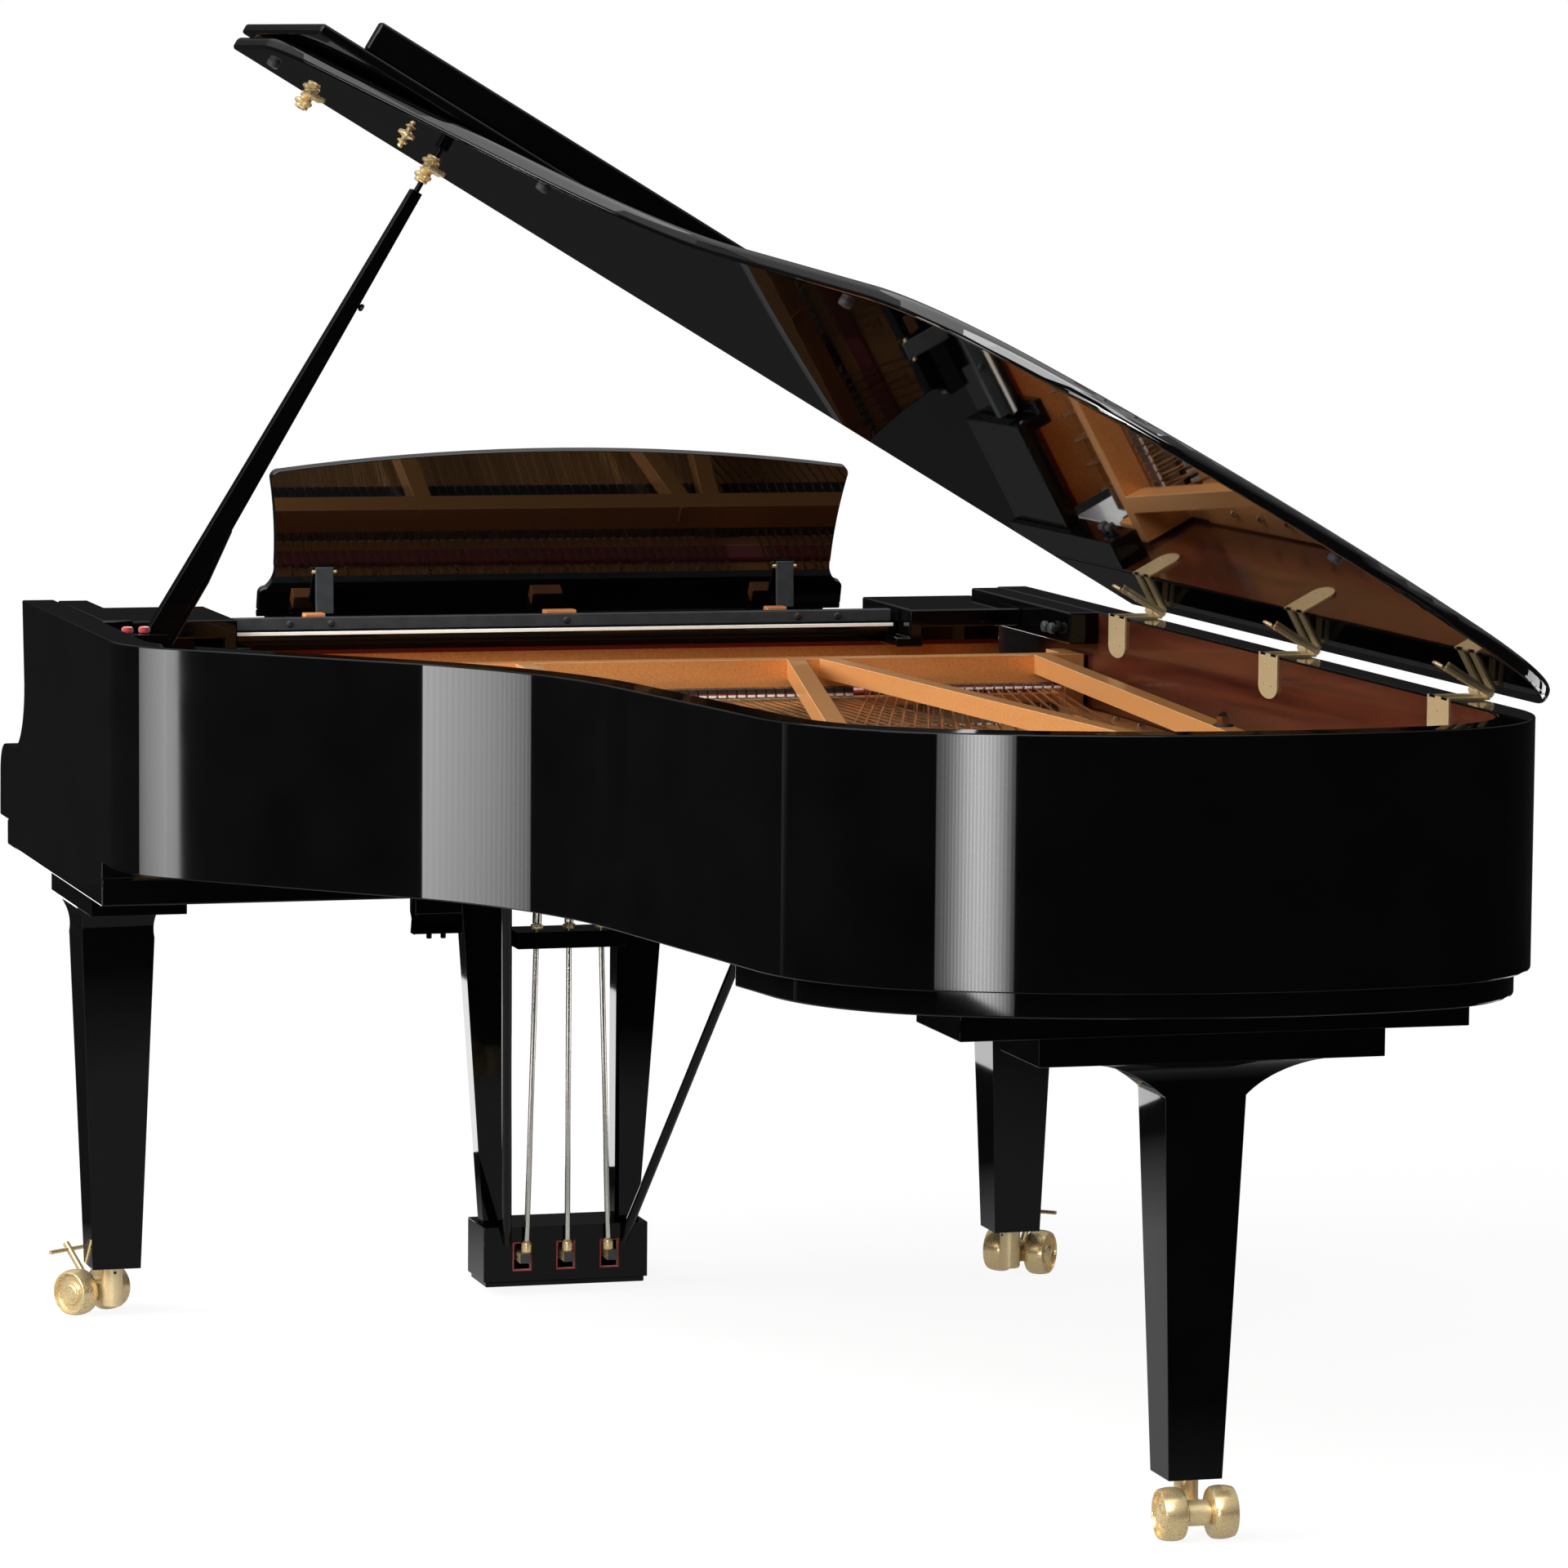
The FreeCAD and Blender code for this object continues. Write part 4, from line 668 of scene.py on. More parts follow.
def wired(name: str, paths: Sequence[Sequence[Vector]], radius: float, finish: Finish, body: str,
          replaces: Sequence[str] = (), sides: int = 6) -> None:
    """Round wires along some paths, as one piece.

    Args:
        name: the piece's name.
        paths: the points of each wire.
        radius: half a wire's thickness.
        finish: what it is coated with.
        body: the CAD body that it moves with.
        replaces: the CAD nodes that it hides.
        sides: how many sides a wire has.
    """
    points, edges = [], []
    for path in paths:
        edges += [(len(points) + i, len(points) + i + 1) for i in range(len(path) - 1)]
        points += path
    mesh = bpy.data.meshes.new(name)
    mesh.from_pydata(points, edges, [])
    piece = linked(name, mesh)
    Trees.run(piece, Trees.wire(), {"Radius": radius, "Sides": sides, "Finish": finish.material()})
    dress(piece, finish, body, replaces)


def lathe(name: str, profile: Outline, sides: int) -> Piece:
    """A turned shape on the origin, for what repeats."""
    return Shape().turned(profile, Vector(), Z_AXIS, sides).raw(name)


def screw_head() -> Piece:
    """A round screw head of unit radius with a recess, standing on the origin."""
    profile = [(0.0, 0.22), (0.26, 0.24), (0.34, 0.5), (0.62, 0.46), (0.86, 0.3), (1.0, 0.0), (0.0, 0.0)]
    return lathe("screw_head", profile, 12)


def hex_nut(radius: float, height: float) -> Piece:
    """A six-sided nut with a domed top, standing on the origin."""
    outline = [(0.0, 1.35), (0.45, 1.25), (0.72, 1.0), (1.0, 0.86), (1.0, 0.0), (0.0, 0.0)]
    return lathe("hex_nut", [(radius * r, height * z) for r, z in outline], 6)


def ringed(radius: float, low: float, high: float, rings: int) -> list[Pair]:
    """The outline of a barrel with grooves around it.

    Args:
        radius: half its thickness.
        low: where it starts along its axis.
        high: where it ends.
        rings: how many rings stand between its grooves.

    Returns:
        Pairs of radius and place along the axis.
    """
    step, groove = (high - low) / rings, radius * 0.86
    profile = [(0.0, low)]
    for ring in range(rings):
        foot = low + ring * step
        profile += [(groove, foot + step * 0.02), (radius, foot + step * 0.2), (radius, foot + step * 0.8),
                    (groove, foot + step * 0.98)]
    return profile + [(0.0, high)]


@dataclass
class Studio:
    """The camera, the lamps, the world and the pale floor.

    Attributes:
        eye: where the camera stands.
        yaw: its turn about the vertical, in radians.
        pitch: its dip below the level, in radians.
        roll: its turn about its own axis, in radians.
        lens: focal length in millimetres.
        side_glow: how bright the side panel's brightest strip is.
        side_low: the share of that at its far end.
        side_strips: how many strips the side panel has.
        side_reach: where the side panel starts and ends along Y.
        side_at: where it hangs along X and Z.
        side_aim: the point that it faces.
        side_high: how high it is.
        side_grid: how wide its strips shine, in radians.
        slim_reach: where the slim panel starts and ends along X.
        slim_at: where it hangs along Y and Z.
        slim_aim: the point that it faces.
        slim_high: how high it is.
        slim_glows: how bright it is, at even steps from one end to the other.
        slim_strips: how many strips it has.
        slim_grid: how wide they shine, in radians.
        sheens: name, centre and size of the panels on the floor that the other sides mirror.
        sheen_glow: how bright those are.
        room: how bright the world is to matt surfaces.
        dome: how the world changes upwards for polished ones.
        floor_radius: half the floor's width.
        floor_grey: how pale it is.
        floor_seen: how much of it is plain white to the eye, by distance.
        floor_dimmed: how much darker it is in mirrors, by distance.
    """

    eye: Point = (2.42976, 8.73753, 1.79523)
    yaw: float = 0.2812
    pitch: float = 0.1066
    roll: float = 0.0086
    lens: float = 158.04
    side_glow: float = 24.0
    side_low: float = 0.2
    side_strips: int = 20
    side_reach: Pair = (-1.5, 0.405)
    side_at: Pair = (4.0, 0.55)
    side_aim: Point = (0.55, 0.0, 0.85)
    side_high: float = 1.3
    side_grid: float = math.radians(20.0)
    slim_reach: Pair = (1.85, 3.35)
    slim_at: Pair = (5.43, 0.4)
    slim_aim: Point = (0.0, 1.1, 0.85)
    slim_high: float = 1.2
    slim_glows: tuple[float, ...] = (2.0, 14.0, 22.0, 24.0, 20.0, 11.0, 5.0, 3.5, 3.0)
    slim_strips: int = 24
    slim_grid: float = math.radians(60.0)
    sheens: tuple[tuple[str, Point, Pair], ...] = (
        ("treble_sheen_front", (2.7, -0.62, 0.012), (2.3, 0.75)),
        ("treble_sheen_rear", (2.7, 0.55, 0.012), (2.3, 0.9)),
        ("bass_sheen_front", (-2.7, -0.62, 0.012), (2.3, 0.75)),
        ("bass_sheen_rear", (-2.7, 0.55, 0.012), (2.3, 0.9)),
        ("front_sheen_bass", (-0.7, -3.0, 0.012), (0.6, 2.4)),
        ("front_sheen_treble", (0.3, -3.0, 0.012), (0.8, 2.4)))
    sheen_glow: float = 3.0
    room: float = 0.25
    dome: Fade = (0.15, 0.6, -0.23, 0.25)
    floor_radius: float = 6.0
    floor_grey: float = 0.86
    floor_seen: Fade = (1.4, 3.2, 0.91, 1.0)
    floor_dimmed: Fade = (0.9, 1.7, -0.5, -0.985)

    def camera(self) -> None:
        """Sets the camera at the photograph's viewing angle."""
        ahead = Vector((-math.sin(self.yaw) * math.cos(self.pitch),
                        -math.cos(self.yaw) * math.cos(self.pitch), -math.sin(self.pitch)))
        side = ahead.cross(Z_AXIS).normalized()
        top = side.cross(ahead)
        right = side * math.cos(self.roll) + top * math.sin(self.roll)
        above = top * math.cos(self.roll) - side * math.sin(self.roll)
        data = bpy.data.cameras.new("camera")
        data.sensor_width = 36.0
        data.lens = self.lens
        data.clip_end = 100.0
        eye = linked("camera", data)
        turn = Matrix((right, above, -ahead)).transposed().to_4x4()
        eye.matrix_world = Matrix.Translation(self.eye) @ turn
        bpy.context.scene.camera = eye

    @staticmethod
    def panel(name: str, centre: Point, aim: Point, size: Pair, glow: float, grid: float = math.pi,
              mirrored: bool = True, lighting: bool = True) -> None:
        """Hangs a soft lamp.

        Args:
            name: the lamp's name.
            centre: where it hangs.
            aim: the point that it faces.
            size: its width and height.
            glow: how bright its face is.
            grid: how wide it shines.
            mirrored: whether polished surfaces show it.
            lighting: whether it lights matt surfaces.
        """
        data = bpy.data.lights.new(name, "AREA")
        data.shape = "RECTANGLE"
        data.size, data.size_y = size
        narrowed = 1.0 if grid == math.pi else 1.0 - grid / 2 / math.tan(grid / 2)
        data.energy = glow * math.pi * size[0] * size[1] * narrowed
        data.spread = grid
        lamp = linked(name, data)
        way = Vector(aim) - Vector(centre)
        lamp.matrix_world = Matrix.Translation(centre) @ way.to_track_quat("-Z", "Y").to_matrix().to_4x4()
        lamp.visible_camera = False
        lamp.visible_glossy = mirrored
        lamp.visible_diffuse = lighting

    def lamps(self) -> None:
        """Hangs the gridded panels that band the rim, the soft lamps and the floor's panels."""
        low, high = self.side_reach
        step = (high - low) / self.side_strips
        side, height = self.side_at
        for strip in range(self.side_strips):
            share = (strip + 0.5) / self.side_strips
            glow = self.side_glow * (self.side_low + (1.0 - self.side_low) * share)
            self.panel(f"side_panel_{strip}", (side, low + (high - low) * share, height), self.side_aim,
                       (step, self.side_high), glow, self.side_grid)
        low, high = self.slim_reach
        step = (high - low) / self.slim_strips
        back, height = self.slim_at
        for strip in range(self.slim_strips):
            share = (strip + 0.5) / self.slim_strips
            run = share * (len(self.slim_glows) - 1)
            near, far = self.slim_glows[int(run):int(run) + 2]
            glow = near + (far - near) * (run - int(run))
            self.panel(f"slim_panel_{strip}", (low + (high - low) * share, back, height), self.slim_aim,
                       (step, self.slim_high), glow, self.slim_grid)
        self.panel("top_panel", (0.6, 0.6, 4.2), (0.0, 0.0, 0.8), (6.0, 6.0), 1.3)
        self.panel("key_panel", (2.6, 4.6, 4.2), (0.0, -0.2, 0.9), (6.0, 3.0), 6.0)
        self.panel("treble_panel", (4.4, -0.4, 3.0), (0.0, -0.2, 0.9), (4.0, 2.4), 22.0, mirrored=False)
        for name, centre, size in self.sheens:
            self.panel(name, centre, (*centre[:2], 1.0), size, self.sheen_glow, lighting=False)

    def world(self) -> None:
        """Makes the world white to the eye and dim to the lacquer."""
        sky = bpy.context.scene.world = bpy.data.worlds.new("studio")
        sky.use_nodes = True
        tree = sky.node_tree
        path = added(tree, "ShaderNodeLightPath").outputs
        seen = worked(tree, "MAXIMUM", path["Is Camera Ray"], path["Is Transmission Ray"])
        shown = worked(tree, "MULTIPLY_ADD", seen, 1.0 - self.room, self.room)
        way = added(tree, "ShaderNodeTexCoord").outputs["Generated"]
        height = added(tree, "ShaderNodeSeparateXYZ", {"Vector": way}).outputs["Z"]
        dome = faded(tree, height, self.dome)
        strength = worked(tree, "MULTIPLY_ADD", path["Is Glossy Ray"], dome, shown)
        filled(tree, tree.nodes["Background"], {"Color": WHITE, "Strength": strength})

    def floor(self) -> None:
        """Lays the pale floor: white to the eye, half as bright in mirrors close by, its shadow kept."""
        shape = bmesh.new()
        bmesh.ops.create_circle(shape, cap_ends=True, segments=96, radius=self.floor_radius)
        mesh = bpy.data.meshes.new("floor")
        shape.to_mesh(mesh)
        shape.free()
        floor = linked("floor", mesh)
        paint = bpy.data.materials.new("pale_floor")
        paint.use_nodes = True
        tree = paint.node_tree
        tree.nodes.remove(tree.nodes["Principled BSDF"])
        path = added(tree, "ShaderNodeLightPath").outputs
        place = added(tree, "ShaderNodeTexCoord").outputs["Object"]
        reach = added(tree, "ShaderNodeVectorMath", {0: place}, operation="LENGTH").outputs["Value"]
        seen = worked(tree, "MAXIMUM", path["Is Camera Ray"], path["Is Transmission Ray"])
        white = worked(tree, "MULTIPLY", seen, faded(tree, reach, self.floor_seen))
        dimmed = faded(tree, reach, self.floor_dimmed)
        strength = worked(tree, "MULTIPLY_ADD", path["Is Glossy Ray"], dimmed, 1.0)
        matt = added(tree, "ShaderNodeBsdfDiffuse", {"Color": (*[self.floor_grey] * 3, 1.0)})
        glow = added(tree, "ShaderNodeEmission", {"Strength": strength})
        mix = added(tree, "ShaderNodeMixShader", {
            "Fac": worked(tree, "MAXIMUM", white, path["Is Glossy Ray"]),
            1: matt.outputs["BSDF"], 2: glow.outputs["Emission"]})
        filled(tree, tree.nodes["Material Output"], {"Surface": mix.outputs["Shader"]})
        mesh.materials.append(paint)

    def build(self) -> None:
        """Sets up the whole studio."""
        bpy.context.scene.view_settings.view_transform = "Standard"
        self.camera()
        self.lamps()
        self.world()
        self.floor()


@dataclass
class Assembly:
    """What the sub-assemblies have in common.

    Attributes:
        nodes: the CAD nodes by name.
    """

    nodes: Nodes

    def soft(self, name: str, finish: Finish, edge: float = 0.0, rounds: int = 2,
             other: Second | None = None) -> None:
        """Puts a CAD node's solids with rounded edges in place of that node.

        Args:
            name: which node.
            finish: what it is coated with.
            edge: how far its edges are rounded.
            rounds: how many steps a rounded edge has.
            other: a second finish and the test for its faces.
        """
        node = self.nodes[name]
        Shape().copied(node).done(f"{name}_finished", finish, node["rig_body"], (name,), edge, rounds, other)


@dataclass
class Case(Assembly):
    """The rim, the boards under it, the rails beside the desk and the legs.

    Attributes:
        rim_edge: how far the rim's edges are rounded.
        board_edge: how far the edges of boards and legs are rounded.
        latch: half the thickness of a latch on the bass rail.
        latch_places: where the latches stand along Y.
        latch_drop: how far below the rim's top they stand.
        latch_inset: how far inside the veneer's outer face.
        trap_slant: the share of the trap cover's height that is slanted.
        peg: half the thickness of a peg under it.
        peg_drop: how far a peg stands out.
        peg_places: where the pegs stand, as shares of the cover's width.
        rail_thick: how thick the name rail and the name board are.
        rail_low: how far the name rail comes down before the pinblock.
        plate_room: its distance from the plate, which the apron fills.
        tray_side: the rail's step beside the tray.
        tray_room: how far it stays below the tray.
        shelf_rise: how far it goes above the tray's underside beside that.
        side_room: how far rail and board end short of the veneer's outer face.
        apron_high: how high the plate stands up against the rail.
        felt_high: how high the felt on the apron is.
        felt_thick: how thick it is.
        fall_room: how far the name board stands behind the fallboard.
        key_room: how far it stays above the fallboard's foot.
        pad: half the width of a felt pad on the prop's bracket.
        pad_height: how high it stands.
        pad_edge: how far it is rounded.
        pad_places: where the pads stand, as shares of the bracket's width.
    """

    rim_edge: float = 0.0018
    board_edge: float = 0.0025
    latch: float = 0.008
    latch_places: Pair = (-0.60, -0.57)
    latch_drop: float = 0.026
    latch_inset: float = 0.046
    trap_slant: float = 0.3
    peg: float = 0.004
    peg_drop: float = 0.008
    peg_places: Pair = (0.35, 0.65)
    rail_thick: float = 0.010
    rail_low: float = 0.03
    plate_room: float = 0.002
    tray_side: float = 0.006
    tray_room: float = 0.0055
    shelf_rise: float = 0.0145
    side_room: float = 0.0445
    apron_high: float = 0.929
    felt_high: float = 0.006
    felt_thick: float = 0.0016
    fall_room: float = 0.008
    key_room: float = 0.002
    pad: float = 0.008
    pad_height: float = 0.009
    pad_edge: float = 0.003
    pad_places: Pair = (0.45, 0.8)

    def trap_cover(self) -> None:
        """Makes the trapwork's box with its slanted foot and two pegs under it."""
        low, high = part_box("trap_box")
        slant = self.trap_slant * (high.z - low.z)
        outline = [(low.y, low.z + slant), (low.y + slant, low.z), (high.y - slant, low.z),
                   (high.y, low.z + slant), (high.y, high.z), (low.y, high.z)]
        cover = Shape().plate(outline, Matrix.Translation(X_AXIS * low.x) @ FACING_X, high.x - low.x)
        for share in self.peg_places:
            foot = Vector((low.x + (high.x - low.x) * share, (low.y + high.y) / 2, low.z - self.peg_drop))
            cover.pin(foot, foot + Z_AXIS * (self.peg_drop + self.peg), self.peg, EASED)
        cover.done("trap_cover", LACQUER, "case", ("trap_box",), self.board_edge)

    def rail_latches(self) -> None:
        """Sets two thumb latches on the inner end of the bass rail."""
        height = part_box("outer_rim")[1].z - self.latch_drop
        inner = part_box("rim_veneer")[0].x + self.latch_inset
        outline = [(0.0, 0.0), (0.6, 0.0), (0.6, 0.5), (1.0, 0.7), (1.0, 1.3), (0.8, 1.6), (0.0, 1.65)]
        profile = [(r * self.latch, z * self.latch) for r, z in outline]
        latches = Shape()
        for back in self.latch_places:
            latches.turned(profile, Vector((inner, back, height)), X_AXIS, 20)
        latches.done("rail_latches", SATIN, "case")

    def name_rail(self) -> None:
        """Closes the gap between the pinblock and the tray, and the sides under the shelves."""
        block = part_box("pinblock")[1].z
        tray_low, tray_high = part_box("desk_tray")
        inner = tray_high.x + self.tray_side
        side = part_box("rim_veneer")[1].x - self.side_room
        low, rear = block - self.rail_low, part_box("iron_plate")[0].y - self.plate_room
        front = rear - self.rail_thick
        rail = Shape().box((-inner, front, low), (inner, rear, tray_low.z - self.tray_room))
        for turn in (1, -1):
            near, far = sorted((turn * inner, turn * side))
            rail.box((near, front, low), (far, rear, tray_low.z + self.shelf_rise))
        rail.done("name_rail", LACQUER, "case")
        apron = Shape().box((-side, rear, block), (side, rear + self.plate_room, self.apron_high))
        apron.done("plate_apron", BRONZE, "case")
        strip = Shape().box((-side, rear, self.apron_high),
                            (side, rear + self.felt_thick, self.apron_high + self.felt_high))
        strip.done("apron_felt", RED_FELT, "case")

    def name_board(self) -> None:
        """Closes the case behind the fallboard, above the keys."""
        fall_low, fall_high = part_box("fallboard")
        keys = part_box("white_keys")[1].x
        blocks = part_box("key_blocks")[1].z
        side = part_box("rim_veneer")[1].x - self.side_room
        front = fall_high.y + self.fall_room
        rear = front + self.rail_thick
        board = Shape().box((-keys, front, fall_low.z + self.key_room), (keys, rear, blocks))
        board.box((-side, front, blocks), (side, rear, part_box("desk_shelves")[0].z - GAP))
        board.done("name_board", LACQUER, "case")

    def prop_rest(self) -> None:
        """Sets two red felt pads on the prop's bracket."""
        low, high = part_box("prop_bracket")
        pads = Shape()
        for share in self.pad_places:
            at = Vector((low.x + (high.x - low.x) * share, (low.y + high.y) / 2, high.z))
            pads.pin(at, at + Z_AXIS * self.pad_height, self.pad, self.pad_edge)
        pads.done("prop_rest", RED_FELT, "case")

    def build(self) -> None:
        """Builds the case."""
        self.soft("outer_rim", LACQUER, self.rim_edge)
        for name in ("keybed", "tail_board", "desk_shelves", "key_blocks",
                     "leg_treble", "leg_bass", "leg_tail"):
            self.soft(name, LACQUER, self.board_edge)
        self.trap_cover()
        self.rail_latches()
        self.name_rail()
        self.name_board()
        self.prop_rest()


@dataclass
class Harp(Assembly):
    """The iron plate with its strings, pins, felts and bolts.

    Attributes:
        plate_edge: how far the casting's edges are rounded.
        string_radius: half a plain string's thickness.
        bass_radius: half a wound string's thickness.
        choir: how far the strings of one note stand apart.
        ends: how much of a string's solid counts as its front and its rear end.
        agraffe: where the strings pass under the web, along Y.
        tail: how far the strings run on behind the bridge.
        dip: how far they come down there.
        pin_side: how far a bridge pin stands beside its string.
        felt_back: where the felt under the strings lies, along Y.
        felt_high: how high it is.
        felt_edge: how far it is rounded.
        flange: the height of the plate's flange.
        bolts: how many bolts stand along its bass side.
        bolt_reach: where their row starts and ends along Y.
        bolt_inset: how far they stand inside the flange's edge.
        bolt_small: their size as a share of the large bolt's.
        bolt_heights: how high a small and the large bolt are.
        bolt_radius: half the large bolt's width.
        nose_bolt: where the large bolt stands on the bass strut.
        washer: radius and thickness of the washer under it.
        slanted: from where to where an upward share of a normal gets the painted highlight on the casting's
            edge.
        bridge_edge: how far the bridges' edges are rounded.
    """

    plate_edge: float = 0.005
    string_radius: float = 0.0006
    bass_radius: float = 0.0016
    choir: float = 0.0036
    ends: Pair = (0.001, 0.004)
    agraffe: float = -0.574
    tail: float = 0.05
    dip: float = 0.012
    pin_side: float = 0.0014
    felt_back: Pair = (-0.652, -0.618)
    felt_high: float = 0.0075
    felt_edge: float = 0.003
    flange: float = 0.861
    bolts: int = 12
    bolt_reach: Pair = (-0.40, 0.90)
    bolt_inset: float = 0.027
    bolt_small: float = 0.7
    bolt_heights: Pair = (0.006, 0.012)
    bolt_radius: float = 0.009
    nose_bolt: Pair = (-0.540, 0.478)
    washer: Pair = (0.013, 0.003)
    slanted: Pair = (0.2, 0.97)
    bridge_edge: float = 0.002

    def paths(self, name: str, count: int) -> list[list[Vector]]:
        """The strings of a node, from the pin past the agraffe and the bridge.

        Args:
            name: the CAD node with one solid for each note.
            count: how many strings a note has.

        Returns:
            The points of each string.
        """
        found = []
        front, rear = self.ends
        for group in islands(self.nodes[name]):
            low, high = span(group)
            start = mean([corner for corner in group if corner.y < low.y + front])
            end = mean([corner for corner in group if corner.y > high.y - rear])
            rest = Vector((start.x, self.agraffe, start.z))
            behind = end + (end - rest).normalized() * self.tail - Z_AXIS * self.dip
            for number in range(count):
                shift = X_AXIS * (self.choir * (number - (count - 1) / 2))
                found.append([point + shift for point in (start, rest, end, behind)])
        return found

    def strings(self) -> None:
        """Strings the plate, with hitch pins and bridge pins."""
        plain, bass = self.paths("plain_strings", 3), self.paths("bass_strings", 1)
        wired("plain_strings_finished", plain, self.string_radius, WIRE, "case", ("plain_strings",))
        wired("bass_strings_finished", bass, self.bass_radius, COPPER, "case", ("bass_strings",))
        pin = lathe("hitch_pin", milli((0, 12), (1.4, 11.5), (2, 9.5), (2, -20), (0, -20)), 8)
        repeated("hitch_pins", pin, [(path[-1], Z_AXIS) for path in plain + bass], STEEL, "case")
        pin = lathe("bridge_pin", milli((0, 3), (0.8, 2.8), (1, 2), (1, -4), (0, -4)), 6)
        places = [(path[2] + X_AXIS * shift, Z_AXIS) for path in plain + bass
                  for shift in (self.pin_side, -self.pin_side)]
        repeated("bridge_pins", pin, places, BRASS, "case")

    def tuning_pins(self) -> None:
        """Sets the tuning pins in the plate's field."""
        boxes = [span(group) for group in islands(self.nodes["tuning_pins"])]
        places = [(Vector((*((low + high) / 2).xy, low.z)), Z_AXIS) for low, high in boxes]
        tall = (boxes[-1][1].z - boxes[-1][0].z) * 1000.0
        profile = milli((0, tall), (2.1, tall), (2.5, tall * 0.8), (3.4, tall * 0.68), (3.4, 0), (0, 0))
        repeated("tuning_pins_finished", lathe("pin", profile, 8), places, STEEL, "case", ("tuning_pins",))

    def trimmings(self) -> None:
        """Lays the red felt under the strings and sets the plate's bolts."""
        low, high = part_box("tuning_pins")
        front, rear = self.felt_back
        felt = Shape().box((low.x, front, low.z), (high.x, rear, low.z + self.felt_high))
        felt.done("stringing_felt", RED_FELT, "case", edge=self.felt_edge)
        inner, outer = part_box("iron_plate")
        start, end = self.bolt_reach
        backs = [start + (end - start) * (step + 0.5) / self.bolts for step in range(self.bolts)]
        places = [(Vector((inner.x + self.bolt_inset, back, self.flange)), Z_AXIS) for back in backs]
        small, large = self.bolt_heights
        bolt = hex_nut(self.bolt_radius * self.bolt_small, small)
        repeated("plate_bolts", bolt, places, STEEL, "case")
        at = Vector((*self.nose_bolt, outer.z))
        radius, thick = self.washer
        top = at + Z_AXIS * thick
        Shape().pin(at, top, radius, EASED).done("nose_washer", RUBBER, "case")
        repeated("nose_bolt", hex_nut(self.bolt_radius, large), [(top, Z_AXIS)], STEEL, "case")

    def build(self) -> None:
        """Builds the harp."""
        low, high = self.slanted
        # The casting's slanted edge faces get the lighter bronze, a painted highlight.
        edges = (BRONZE_HIGHLIGHT, lambda face: low < face.normal.z < high)
        self.soft("iron_plate", BRONZE, self.plate_edge, 3, edges)
        self.soft("bridges", MAPLE, self.bridge_edge)
        self.strings()
        self.tuning_pins()
        self.trimmings()


@dataclass
class Action(Assembly):
    """The keys, the fallboard, the hammers and the dampers.

    Attributes:
        white_edge: how far a white key's edges are rounded.
        black_edge: the same for a black key.
        fall_edge: the same for the fallboard.
        top_coat: how thick a white key's covering is.
        head: how deep a hammer's felt head is.
        shank: how high its shank stands.
        neck: up to what height a damper is slim.
        head_edge: how far its head is rounded.
        felt: how thick its felt is.
        cloth: how thick the red cloth above it is.
        spare: how far cloth and felt go past the head.
        wire: half the thickness of its wire.
        wire_room: how far the wire stands inside the head, and above it.
    """

    white_edge: float = 0.0007
    black_edge: float = 0.00112
    fall_edge: float = 0.003
    top_coat: float = 0.006
    head: float = 0.0205
    shank: float = 0.012
    neck: float = 0.02
    head_edge: float = 0.0012
    felt: float = 0.004
    cloth: float = 0.0016
    spare: float = 0.0002
    wire: float = 0.0008
    wire_room: float = 0.001

    def keys(self) -> None:
        """Covers the keys and rounds their edges."""
        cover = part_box("white_keys")[1].z - self.top_coat
        wood = (MAPLE, lambda face: face.center.z < cover and face.normal.y > -FACING)
        self.soft("white_keys", IVORY, self.white_edge, 2, wood)
        self.soft("black_keys", EBONY, self.black_edge)
        self.soft("fallboard", LACQUER, self.fall_edge)

    def hammers(self) -> None:
        """Dresses the hammers' heads in felt and their shanks in maple."""
        for name in ("white_hammers", "black_hammers"):
            low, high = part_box(name)
            back, top = high.y - self.head, low.z + self.shank
            wood = (MAPLE, lambda face: face.center.y < back or face.center.z < top)
            self.soft(name, FELT, FINE, 1, wood)

    def dampers(self) -> None:
        """Makes each damper of a black head, red cloth, pale felt and a wire."""
        heads, cloths, felts, wires = Shape(), Shape(), Shape(), []
        for group in islands(self.nodes["dampers"]):
            low, high = span(group)
            neck = low.z + self.neck
            flat = min(corner.z for corner in group if corner.z > neck)
            slim = min(corner.x for corner in group if corner.z < neck)
            right = min(high.x, slim + self.spare)
            cloth = flat + self.felt
            top = cloth + self.cloth
            felts.box((low.x, low.y, flat), (right, high.y, cloth))
            cloths.box((low.x - self.spare, low.y - self.spare, cloth),
                       (right + self.spare, high.y + self.spare, top))
            heads.box((low.x, low.y, top), high)
            foot = Vector((high.x - self.wire_room, (low.y + high.y) / 2, low.z))
            wires.append([foot, foot + Z_AXIS * (high.z - low.z + self.wire_room)])
        heads.done("damper_heads", DAMPER, "dampers", ("dampers",), self.head_edge)
        cloths.done("damper_cloths", RED_FELT, "dampers")
        felts.done("damper_felts", FELT, "dampers", edge=FINE)
        wired("damper_wires", wires, self.wire, STEEL, "dampers")

    def build(self) -> None:
        """Builds the action."""
        self.keys()
        self.hammers()
        self.dampers()


